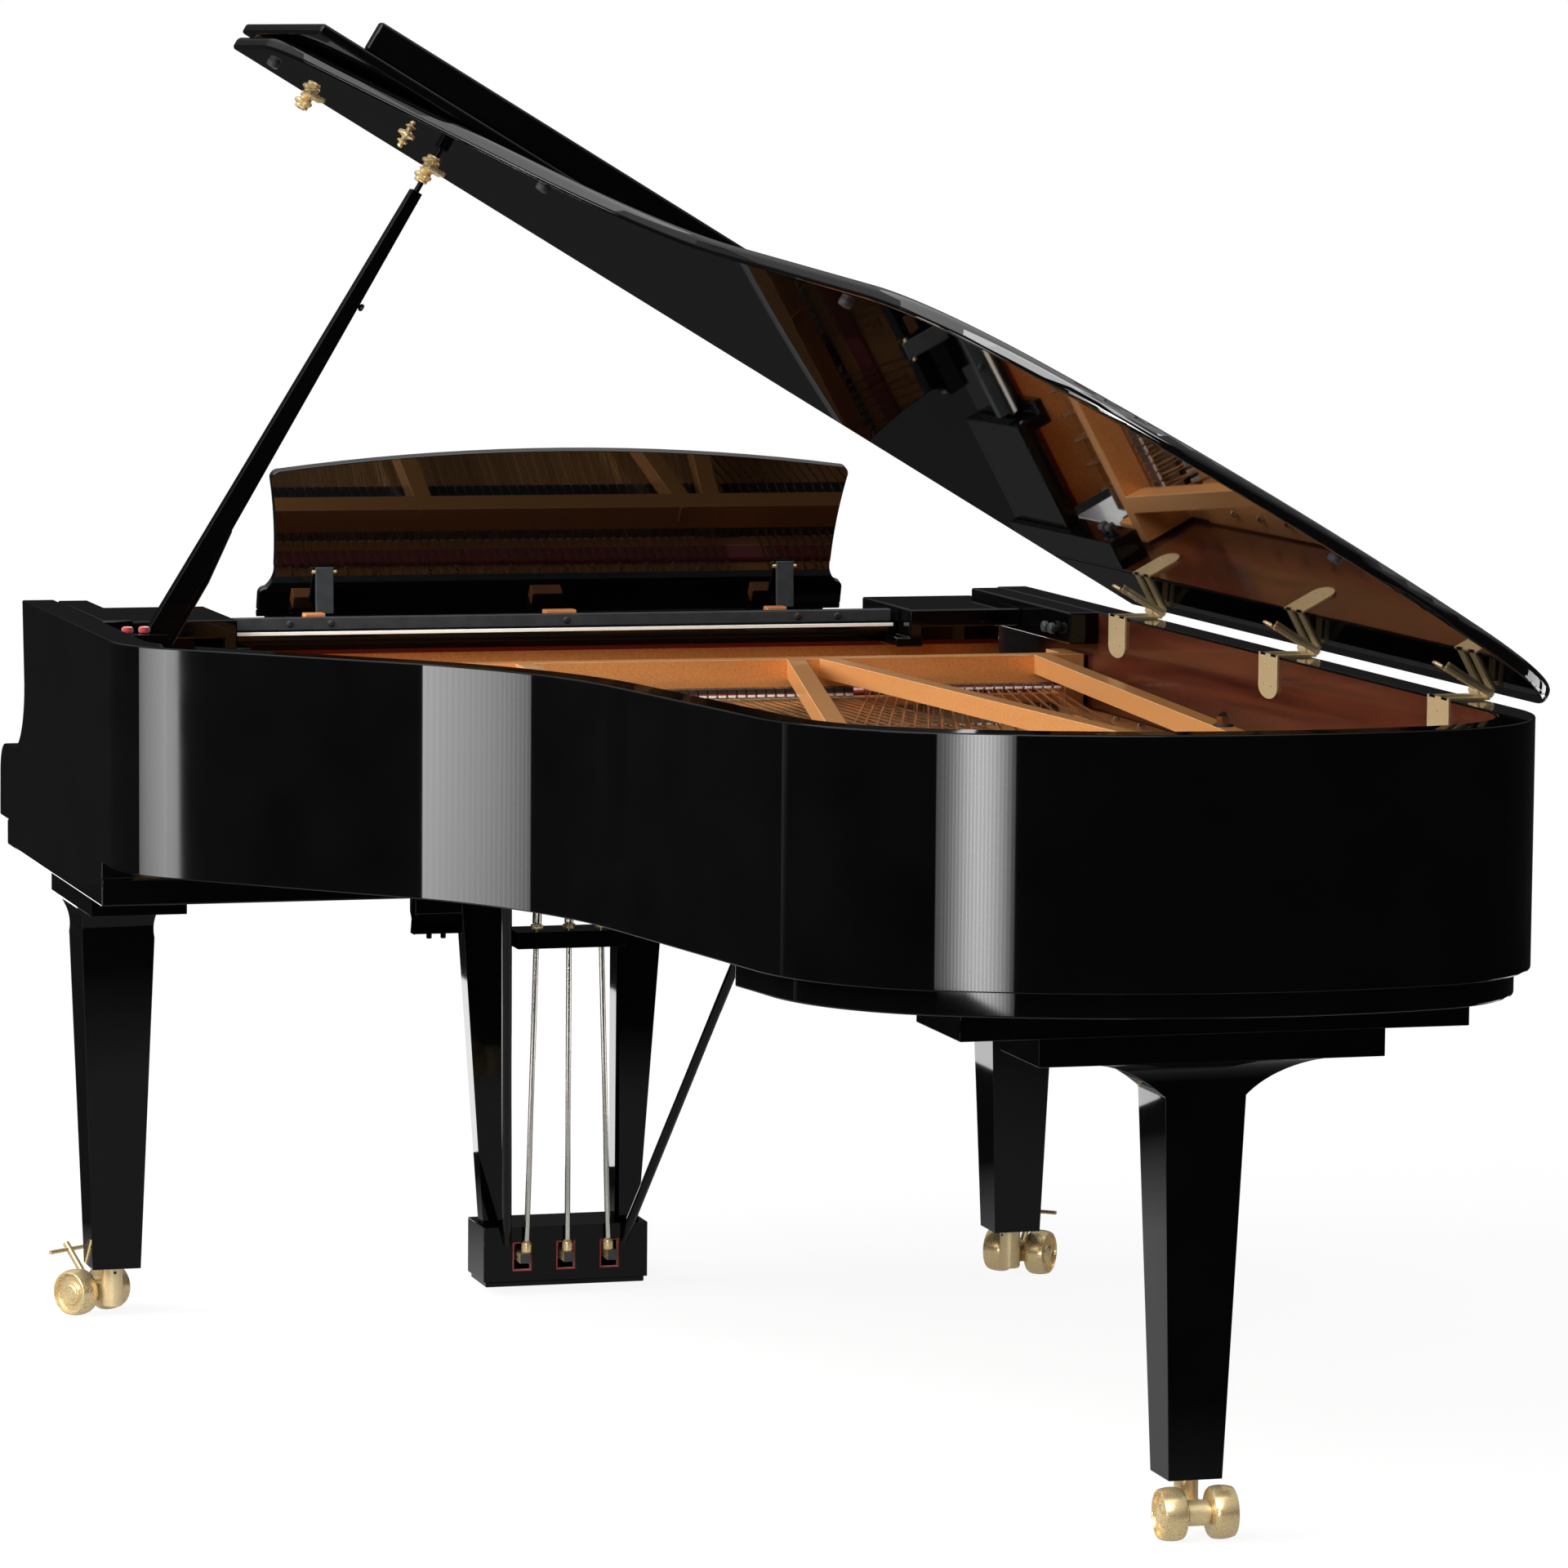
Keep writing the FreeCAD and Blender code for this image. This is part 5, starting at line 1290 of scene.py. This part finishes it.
@dataclass
class MusicDesk(Assembly):
    """The desk with its arms, its tray, the bar and the blocks.

    Attributes:
        desk_edge: how far the desk's edges are rounded.
        tray_edge: the same for the tray.
        bar_edge: the same for the bar and the arms.
        rest_edge: the same for the blocks.
        screw_sides: where the bar's screws stand, from the middle.
        screw_radius: half a screw head's width.
        clip_radius: half the thickness of an arm's pin.
        clip_length: its length.
        clip_drop: how far it stands below the arm's top.
        clip_top: how deep that top is.
        rest_shift: how far an outer block stands clear of its arm.
        rest_over: how far it goes beyond its CAD block.
        highlight_height: how high the pale strip along the tray is, a painted highlight on its rear edge.
        highlight_inset: how far it ends short of the tray's sides, and how deep it is set in.
        highlight_proud: how far it stands out.
        highlight_edge: how far it is rounded.
    """

    desk_edge: float = 0.003
    tray_edge: float = 0.004
    bar_edge: float = 0.0012
    rest_edge: float = 0.0015
    screw_sides: tuple[float, ...] = (-0.405, -0.345, 0.0, 0.345, 0.405)
    screw_radius: float = 0.0055
    clip_radius: float = 0.003
    clip_length: float = 0.006
    clip_drop: float = 0.007
    clip_top: float = 0.003
    rest_shift: float = 0.027
    rest_over: float = 0.011
    highlight_height: float = 0.005
    highlight_inset: float = 0.004
    highlight_proud: float = 0.0008
    highlight_edge: float = 0.0006

    def boards(self) -> None:
        """Rounds the desk, the tray, the bar and the blocks."""
        self.soft("music_desk", MIRROR, self.desk_edge, 3)
        self.soft("desk_tray", LACQUER, self.tray_edge, 3)
        self.soft("desk_bar", SATIN, self.bar_edge)
        self.soft("desk_arms", SATIN, self.bar_edge)
        rests = Shape()
        for group in islands(self.nodes["desk_rests"]):
            low, high = span(group)
            if low.x * high.x > 0:
                low.x += self.rest_shift
                high.x += self.rest_over
            rests.box(low, high)
        rests.done("desk_rests_finished", TAN, "tray", ("desk_rests",), self.rest_edge)

    def fixings(self) -> None:
        """Sets the bar's screws, the tray's painted highlight strip and the pins at the tops of the arms."""
        low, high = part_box("desk_bar")
        places = [(Vector((side, high.y, (low.z + high.z) / 2)), Y_AXIS) for side in self.screw_sides]
        repeated("bar_screws", screw_head(), places, RUBBER, "tray", size=self.screw_radius)
        tray_low, tray_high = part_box("desk_tray")
        top, inset = low.z - GAP, self.highlight_inset
        # A pale strip along the tray's rear edge: a painted highlight.
        highlight_strip = Shape().box((tray_low.x + inset, tray_high.y - inset, top - self.highlight_height),
                           (tray_high.x - inset, tray_high.y + self.highlight_proud, top))
        highlight_strip.done("tray_trim", IVORY, "tray", edge=self.highlight_edge)
        pins = Shape()
        for group in islands(self.nodes["desk_arms"]):
            low, high = span(group)
            top = high.z - self.clip_top
            middle = mean([corner for corner in group if corner.z > top]) - Z_AXIS * self.clip_drop
            for side in (low.x, high.x):
                out = X_AXIS if side > middle.x else -X_AXIS
                start = Vector((side, middle.y, middle.z)) - out * GAP
                pins.pin(start, start + out * self.clip_length, self.clip_radius, FINE)
        pins.done("arm_pins", BRASS, "desk_arms")

    def build(self) -> None:
        """Builds the music desk."""
        self.boards()
        self.fixings()


@dataclass
class Lid(Assembly):
    """The lid with its flap, hinges, bumpers and cups, and the prop under it.

    Attributes:
        opened: how far the lid stands open, in radians.
        axis: a point of the hinge line.
        flap_edge: how far the flap's edges are rounded.
        backs: where the three hinges stand along Y.
        knuckle: half the width of a hinge's barrel.
        half: half the length of its middle part.
        reach: how far its outer parts go.
        strap: half the width of a strap.
        strap_thick: how thick it is.
        strap_round: how deep the curve at its foot is.
        strap_screws: how deep and how far aside its screws sit.
        strap_screw: half the width of such a screw.
        knuckle_gap: the gap between a hinge's parts.
        hinge_edge: how far a hinge's edges are rounded.
        barrel: how much thicker its middle part is.
        strap_low: how low a strap comes.
        inner_face: the face inside the rim that the straps lie on.
        lever: the length of a hinge's lever.
        lever_side: how far it stands beside the hinge's middle.
        lever_bend: how far its end bends aside.
        lever_drop: how far it hangs below the hinge line, and how thick it is.
        leaf_drop: the same for a leaf.
        leaf_eased: how far a leaf's end is tapered.
        leaf_tip: the share of its width at the tip.
        leaf_screws: where its screws sit, as shares of its length.
        leaf_screw: half the width of such a screw.
        cups: where the prop's cups stand across the closed lid.
        cup_back: where they stand along Y.
        cup_plate: where a cup's plate starts, laps over and ends along Y.
        cup_plate_half: half the plate's width.
        cup_plate_thick: how thick it is.
        cup_turn: the share of a half turn that a cup goes each way.
        cup_edge: how far its edges are rounded.
        catch: where the catch stands under the closed lid.
        prop_foot: the prop's pivot.
        prop_edge: how far its edges are rounded.
        bracket_edge: the same for its bracket.
        prop_half: half its width.
        knob_at: how far up the prop its knob stands.
        stay_length: the length of the short stay along its foot.
        stay_edge: how far the stay's edges are rounded.
    """

    opened: float = math.radians(30.8)
    axis: Point = (-0.761, 0.0, 1.008)
    flap_edge: float = 0.004
    backs: tuple[float, ...] = (-0.427, 0.1927, 0.805)
    knuckle: float = 0.006
    half: float = 0.010
    reach: float = 0.030
    strap: float = 0.036
    strap_thick: float = 0.003
    strap_round: float = 0.016
    strap_screws: tuple[Pair, ...] = ((0.014, 0.0), (0.038, 0.014), (0.038, -0.014))
    strap_screw: float = 0.0022
    knuckle_gap: float = 0.0002
    hinge_edge: float = 0.0006
    barrel: float = 1.5
    strap_low: float = 0.943
    inner_face: float = -0.7067
    lever: float = 0.074
    lever_side: float = 0.0335
    lever_bend: float = 0.010
    lever_drop: Pair = (0.0046, 0.0042)
    leaf_drop: Pair = (0.0016, 0.0015)
    leaf_eased: float = 0.008
    leaf_tip: float = 0.4
    leaf_screws: Pair = (0.45, 0.75)
    leaf_screw: float = 0.0024
    cups: Pair = (0.4402, 0.6352)
    cup_back: float = -0.525
    cup_plate: Point = (-0.5095, -0.505, -0.469)
    cup_plate_half: float = 0.012
    cup_plate_thick: float = 0.003
    cup_turn: float = 0.66
    cup_edge: float = 0.0004
    catch: Point = (0.543, -0.275, 1.008)
    prop_foot: Point = (0.6658, -0.525, 0.960)
    prop_edge: float = 0.003
    bracket_edge: float = 0.0015
    prop_half: float = 0.009
    knob_at: float = 0.562
    stay_length: float = 0.208
    stay_edge: float = 0.002

    def swung(self) -> Matrix:
        """The turn that opens the lid about its hinges."""
        here = Matrix.Translation(self.axis)
        return here @ Matrix.Rotation(-self.opened, 4, "Y") @ here.inverted()

    def boards(self) -> None:
        """Polishes the lid, the flap and its nosing."""
        above = self.swung().to_3x3() @ Z_AXIS
        self.soft("lid_main", MIRROR, other=(LACQUER, lambda face: face.normal.dot(above) > FACING))
        self.soft("lid_flap", LACQUER, self.flap_edge, 3)
        self.soft("flap_nosing", LACQUER, self.flap_edge, 3)

    def straps(self) -> None:
        """Makes the hinges' halves on the case: ringed ears and straps with rounded ends."""
        shape, screws = Shape(), []
        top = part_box("outer_rim")[1].z
        roof, face = top + self.strap_thick, self.inner_face + self.strap_thick
        low = self.strap_low + self.strap_round
        angles = [-math.pi * i / 16 for i in range(17)]
        outline = [(self.strap * math.cos(a), low + self.strap_round * math.sin(a)) for a in angles]
        outline += [(-self.strap, roof), (self.strap, roof)]
        for back in self.backs:
            centre = Vector((self.axis[0], back, self.axis[2]))
            place = Matrix.Translation((self.inner_face, back, 0.0)) @ FACING_X
            shape.plate(outline, place, self.strap_thick)
            for turn in (1, -1):
                near, far = sorted((turn * (self.half + self.knuckle_gap), turn * self.reach))
                shape.turned(ringed(self.knuckle, near, far, 4), centre, Y_AXIS, 24)
                shape.box((centre.x, back + near, top), (face, back + far, roof))
            for depth, shift in self.strap_screws:
                screws.append((Vector((face, back + shift, top - depth)), X_AXIS))
        shape.done("hinge_straps_finished", CREAM_BRASS, "case", ("hinge_straps",), self.hinge_edge, 1)
        repeated("strap_screws", screw_head(), screws, BRASS, "case", size=self.strap_screw)

    def leaves(self) -> None:
        """Makes the hinges' halves on the lid: ringed barrels, leaves, pins and spoon levers."""
        shape, screws, swung = Shape(), [], self.swung()
        down = swung.to_3x3() @ -Z_AXIS
        half, tip, eased = self.half, self.half * self.leaf_tip, self.lever - self.leaf_eased
        leaf = [(0.0, -half), (eased, -half), (self.lever, -tip)]
        leaf += [(along, -side) for along, side in reversed(leaf)]
        row = ((0.0, 0.0055), (0.3, 0.0045), (0.65, 0.004), (0.85, 0.006), (0.96, 0.0055), (1.0, 0.002))
        curve = [(share * self.lever, self.lever_side + self.lever_bend * share ** 2, wide / 2)
                 for share, wide in row]
        spoon = [(along, side - wide) for along, side, wide in curve]
        spoon += [(along, side + wide) for along, side, wide in reversed(curve)]
        for back in self.backs:
            centre = Vector((self.axis[0], back, self.axis[2]))
            shape.turned(ringed(self.knuckle * self.barrel, -half, half, 5), centre, Y_AXIS, 24)
            end = centre + Y_AXIS * (self.reach + self.knuckle)
            shape.pin(centre - Y_AXIS * self.reach, end, self.knuckle / 2, FINE)
            for outline, (drop, thick) in ((leaf, self.leaf_drop), (spoon, self.lever_drop)):
                shape.plate(outline, swung @ Matrix.Translation(centre - Z_AXIS * drop), thick)
            for share in self.leaf_screws:
                at = centre + X_AXIS * (self.lever * share) - Z_AXIS * self.leaf_drop[0]
                screws.append((swung @ at, down))
        shape.done("hinge_leaves_finished", CREAM_BRASS, "lid", ("hinge_leaves",), self.hinge_edge, 1)
        repeated("leaf_screws", screw_head(), screws, BRASS, "lid", size=self.leaf_screw)

    def cup_fittings(self) -> None:
        """Makes the turned cups, open towards the hinges, and the catch."""
        shape, swung = Shape(), self.swung()
        under = self.axis[2]
        low, half, arc = under - self.cup_plate_thick, self.cup_plate_half, math.pi * self.cup_turn
        start, lap, end = self.cup_plate
        down, away = swung.to_3x3() @ -Z_AXIS, swung.to_3x3() @ X_AXIS
        frame = down.to_track_quat("Z", "Y").to_matrix().transposed() @ away
        front = math.atan2(frame.y, frame.x)
        spool = milli((8.3, 0), (12, 0), (12.5, 2), (10, 4.5), (10.6, 6.6), (15, 9), (15.6, 11), (15, 13),
                      (11, 15.4), (11.6, 18), (10.5, 20), (8.3, 20))
        for side in self.cups:
            at = swung @ Vector((side, self.cup_back, under))
            shape.turned(spool, at, down, 28, True, (front - arc, front + arc))
            shape.box((side - half, start, low), (side + half, end, under), swung)
            shape.box((side, self.cup_back, low), (side + half, lap, under), swung)
        knob = milli((0, 20), (2.5, 19.6), (3.8, 18), (4, 15.5), (3, 13.5), (6.8, 12.5), (7.4, 11),
                     (6.8, 9.5), (4, 8.5), (3.6, 5.5), (8.5, 3.2), (11.6, 2.6), (12, 1.4), (12, 0), (0, 0))
        shape.turned(knob, swung @ Vector(self.catch), down, 28)
        shape.done("prop_cups_finished", BRASS, "lid", ("prop_cups",), self.cup_edge, 1)

    def bumpers(self) -> None:
        """Makes the rubber bumpers under the lid."""
        swung = self.swung()
        down, shut = swung.to_3x3() @ -Z_AXIS, swung.inverted()
        boxes = [span([shut @ corner for corner in group]) for group in islands(self.nodes["lid_bumpers"])]
        places = [(swung @ Vector((*((low + high) / 2).xy, high.z)), down) for low, high in boxes]
        tall = (boxes[-1][1].z - boxes[-1][0].z) * 1000.0
        profile = milli((0, tall), (5, tall), (7.5, tall * 0.9), (8.8, tall * 0.65), (9, 0), (0, 0))
        bumper = lathe("bumper", profile, 20)
        repeated("lid_bumpers_finished", bumper, places, RUBBER, "lid", ("lid_bumpers",))

    def prop(self) -> None:
        """Rounds the prop and its bracket, and adds the prop's knob and the stay along its foot."""
        self.soft("lid_prop", LACQUER, self.prop_edge)
        self.soft("prop_bracket", LACQUER, self.bracket_edge)
        place = Matrix.Translation(self.prop_foot) @ Matrix.Rotation(-self.opened, 4, "Y")
        at = place @ Vector((-self.prop_half, 0.0, self.knob_at))
        knob = milli((0, 0), (3, 0), (3, 3), (5.2, 5), (5.6, 7), (4.2, 9.2), (0, 9.8))
        Shape().turned(knob, at, place.to_3x3() @ -X_AXIS, 20).done("prop_knob", LACQUER, "prop")
        tall = self.stay_length * 1000.0
        stay = milli((-24.5, 6), (-24, 130), (-16, tall), (-12, tall), (-15, 6))
        face = place @ Matrix.Translation(Y_AXIS * self.prop_half) @ FACING_FRONT
        bar = Shape().plate(stay, face, self.prop_half * 2)
        bar.done("prop_stay", LACQUER, "prop", edge=self.stay_edge)

    def build(self) -> None:
        """Builds the lid and what carries it."""
        self.boards()
        self.straps()
        self.leaves()
        self.cup_fittings()
        self.bumpers()
        self.prop()


@dataclass
class Lyre(Assembly):
    """The lyre with its box, the pedals and their rods.

    Attributes:
        sides: where the pedals stand from the middle.
        rod_back: where the rods stand along Y.
        rod_radius: half a rod's thickness.
        low: where the rods start.
        high: where they end.
        low_shift: how far a rod's foot stands nearer to the middle than its pedal.
        high_shift: the same for its top.
        guide_top: the top of the block that guides the rods.
        frame_edge: how far the frame's edges are rounded.
        box_edge: the same for the box.
        plinth: how far the box's plinth stands back.
        plinth_low: how far it goes below the box.
        plinth_edge: how far its edges are rounded.
        slot_half: half the width of a slot in the box.
        slot_reach: where a slot starts and ends along Z.
        lining: how thick a slot's red lining is.
        pedal_edge: how far a pedal's edges are rounded.
        pedal_end: how far before the rods a pedal's dark end starts, black iron that also paints the shade in
            the box's slots.
    """

    sides: tuple[tuple[str, float], ...] = (("soft", -0.065), ("sustain", 0.0), ("damper", 0.065))
    rod_back: float = -0.782
    rod_radius: float = 0.004
    low: float = 0.0633
    high: float = 0.628
    low_shift: float = 0.004
    high_shift: float = 0.020
    guide_top: float = 0.531
    frame_edge: float = 0.002
    box_edge: float = 0.0012
    plinth: float = 0.004
    plinth_low: float = 0.008
    plinth_edge: float = 0.0015
    slot_half: float = 0.014
    slot_reach: Pair = (0.035, 0.077)
    lining: float = 0.0016
    pedal_edge: float = 0.0045
    pedal_end: float = 0.02

    def boards(self) -> None:
        """Rounds the lyre's frame and box, smooths its braces, and sets the box on a plinth."""
        self.soft("lyre_frame", LACQUER, self.frame_edge)
        self.soft("lyre_box", LACQUER, self.box_edge)
        self.soft("lyre_braces", LACQUER)
        low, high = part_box("lyre_box")
        plinth = Shape().box((low.x + self.plinth, low.y + self.plinth, low.z - self.plinth_low),
                             (high.x - self.plinth, high.y - self.plinth, low.z))
        plinth.done("lyre_plinth", LACQUER, "case", edge=self.plinth_edge)

    def rods(self) -> None:
        """Makes the rods with their brass feet, nuts and sleeves."""
        sleeve = milli((0, 10), (5.8, 10), (6.6, 11.2), (6.6, 36), (5.8, 37.5), (0, 37.5))
        cup = milli((0, 0), (6.2, 0), (7.4, 1.2), (7.6, 12), (6.2, 14.5), (4.5, 17), (0, 17))
        nut = milli((0, 2), (8.8, 2), (9.4, 3.2), (9.4, 7.8), (8.8, 9), (0, 9))
        for name, side in self.sides:
            inward = (side < 0) - (side > 0)
            foot = Vector((side + inward * self.low_shift, self.rod_back, self.low))
            top = Vector((side + inward * self.high_shift, self.rod_back, self.high))
            way = (top - foot).normalized()
            guide = foot + way * ((self.guide_top - self.low) / way.z)
            rod = Shape().pin(foot + way * self.rod_radius, top, self.rod_radius, FINE)
            rod.turned(sleeve, guide, way, 24)
            rod.done(f"pedal_rod_{name}_finished", STEEL, f"rod_{name}", (f"pedal_rod_{name}",))
            fitting = Shape().turned(cup, foot, way, 24).turned(nut, guide, way, 6)
            fitting.done(f"pedal_rod_{name}_fittings", BRASS, f"rod_{name}")

    def slots(self) -> None:
        """Lines the slots of the box in red felt."""
        low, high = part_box("lyre_box")
        bottom, top = self.slot_reach
        outer, inner = self.slot_half, self.slot_half - self.lining
        deep, proud = 0.0088, 0.0003
        shape = Shape()
        for _, side in self.sides:
            for start, end in ((high.y - deep, high.y + proud), (low.y - proud, low.y + deep)):
                for near, far in ((inner, outer), (-outer, -inner)):
                    shape.box((side + near, start, bottom), (side + far, end, top))
                for foot in (top - self.lining, bottom):
                    shape.box((side - inner, start, foot), (side + inner, end, foot + self.lining))
        shape.done("slot_linings", RED_FELT, "case")

    def pedals(self) -> None:
        """Casts the pedals in brass with rounded edges and dark ends, which also paint the shade inside the
        box's slots.
        """
        end = self.rod_back - self.pedal_end
        for name, _ in self.sides:
            # Their ends inside the box are dark satin: black iron, and painted shade for the slots.
            self.soft(f"pedal_{name}", BRASS, self.pedal_edge, 3, (SATIN, lambda face: face.center.y > end))

    def build(self) -> None:
        """Builds the lyre."""
        self.boards()
        self.rods()
        self.slots()
        self.pedals()


@dataclass
class Caster:
    """A twin-wheel caster under one leg.

    Attributes:
        name: which leg it stands under.
        foot: where its stem stands, along X and Y.
        heading: which way it trails, in degrees.
        braked: whether it has a brake lever.
        trail: how far the axle stands behind the stem.
        radius: the wheels' radius.
        half_axle: half the axle's length.
        axle_radius: half its thickness.
        bridge: half the width and half the height of the bar between stem and axle.
        screw_turn: where the housing's grub screw sits, in degrees from the trail.
        screw_high: how high it sits.
        screw_out: how far out.
        rise: how far the brake's spindle slants up, in degrees.
        spindle: where it starts and ends, from the axle.
        spindle_radius: half its thickness.
        half_bar: half the length of the brake's cross bar.
        bar_at: how far up the spindle the bar stands.
        bar_radius: half its thickness.
    """

    name: str
    foot: Pair
    heading: float
    braked: bool
    trail: float = 0.040
    radius: float = 0.033
    half_axle: float = 0.043
    axle_radius: float = 0.006
    bridge: Pair = (0.011, 0.012)
    screw_turn: float = 150.0
    screw_high: float = 0.0635
    screw_out: float = 0.0146
    rise: float = 49.0
    spindle: Pair = (0.014, 0.080)
    spindle_radius: float = 0.0048
    half_bar: float = 0.039
    bar_at: float = 0.069
    bar_radius: float = 0.0029

    def place(self) -> Matrix:
        """The caster's own frame, with X along its trail."""
        return Matrix.Translation((*self.foot, 0.0)) @ Matrix.Rotation(math.radians(self.heading), 4, "Z")

    def axle(self) -> Place:
        """The middle of the axle and which way it runs."""
        place = self.place()
        return place @ Vector((self.trail, 0.0, self.radius)), place.to_3x3() @ Y_AXIS

    def done(self, shape: Shape, part: str, finish: Finish) -> None:
        """Finishes a piece that stands for a CAD node of this caster."""
        node = f"caster_{part}_{self.name}"
        shape.done(f"{node}_finished", finish, f"{part}_{self.name}", (node,))

    def wheels(self) -> None:
        """Turns the two crowned wheels with their rims, hubs and caps."""
        profile = milli(
            (0, 47.4), (6, 47.2), (9.6, 46.6), (11.4, 45.6), (12.2, 44.4), (13, 44), (15.2, 44), (15.9, 43.4),
            (16.2, 41.2), (17, 40.6), (25.8, 40.6), (26.8, 41.4), (27.4, 45.6), (28.2, 46.8), (29.4, 47),
            (30.4, 46.2), (31.6, 42.6), (32.6, 37), (33, 31), (32.7, 25), (31.6, 20), (29.6, 17.6),
            (27.6, 17), (6.3, 17), (6.3, 43.6), (0, 43.6))
        at, across = self.axle()
        self.done(Shape().turned(profile, at, across, 48).turned(profile, at, -across, 48), "wheels", BRASS)

    def fork(self) -> None:
        """Turns the housing with its stem, the barrel and the axle, and sets a dark grub screw."""
        place = self.place()
        stem = place.translation
        at, across = self.axle()
        housing = milli((0, 14), (12.2, 14), (14.2, 15), (15, 17.4), (15, 69.2), (14.2, 70.6), (8, 71),
                        (8, 112), (0, 112))
        barrel = milli((0, -16.5), (12.6, -16.5), (12.6, -14.6), (14.4, -14.2), (14.4, -12.4), (16, -12),
                       (16, 12), (14.4, 12.4), (14.4, 14.2), (12.6, 14.6), (12.6, 16.5), (0, 16.5))
        shape = Shape().turned(housing, stem, Z_AXIS, 40).turned(barrel, at, across, 40)
        shape.pin(at - across * self.half_axle, at + across * self.half_axle, self.axle_radius, FINE)
        wide, high = self.bridge
        shape.box((0.0, -wide, self.radius - high), (self.trail, wide, self.radius + high), place)
        self.done(shape, "fork", CREAM_BRASS)
        turn = math.radians(self.screw_turn)
        way = place.to_3x3() @ Vector((math.cos(turn), math.sin(turn), 0.0))
        screw = milli((0, 0), (2.2, 0), (2.2, 0.6), (0, 0.6))
        hole = Shape().turned(screw, stem + Z_AXIS * self.screw_high + way * self.screw_out, way, 16)
        hole.done(f"grub_screw_{self.name}", RUBBER, f"fork_{self.name}")

    def brake(self) -> None:
        """Turns the brake's spindle and its cross bar."""
        rise = math.radians(self.rise)
        way = self.place().to_3x3() @ Vector((math.cos(rise), 0.0, math.sin(rise)))
        at, across = self.axle()
        bar, half = at + way * self.bar_at, across * self.half_bar
        low, high = self.spindle
        shape = Shape().pin(at + way * low, at + way * high, self.spindle_radius, self.spindle_radius / 4)
        self.done(shape.pin(bar - half, bar + half, self.bar_radius, EASED), "brake", BRASS)

    def build(self) -> None:
        """Builds the caster."""
        self.wheels()
        self.fork()
        if self.braked:
            self.brake()


CASTERS = (
    Caster("treble", (0.668, -0.769), -55.0, True), Caster("bass", (-0.668, -0.769), -130.0, True),
    Caster("tail", (-0.335, 0.956), 88.0, False),
)


def dress_plain(nodes: Nodes) -> None:
    """Gives the solids that keep their CAD shape their finish.

    Args:
        nodes: the CAD nodes by name.
    """
    for name, finish in PLAIN_NODES.items():
        mesh = nodes[name].data
        mesh.materials.clear()
        mesh.materials.append(finish.material())
        LOG.info("%s in %s", name, finish.name)


def main() -> None:
    """Builds the dressed piano in order."""
    logging.basicConfig(level=logging.INFO, format="%(message)s")
    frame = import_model()
    nodes = frame["nodes"]
    Studio().build()
    dress_plain(nodes)
    for assembly in (Case, Harp, Action, MusicDesk, Lid, Lyre):
        assembly(nodes).build()
    for caster in CASTERS:
        caster.build()


if __name__ == "__main__":
    main()
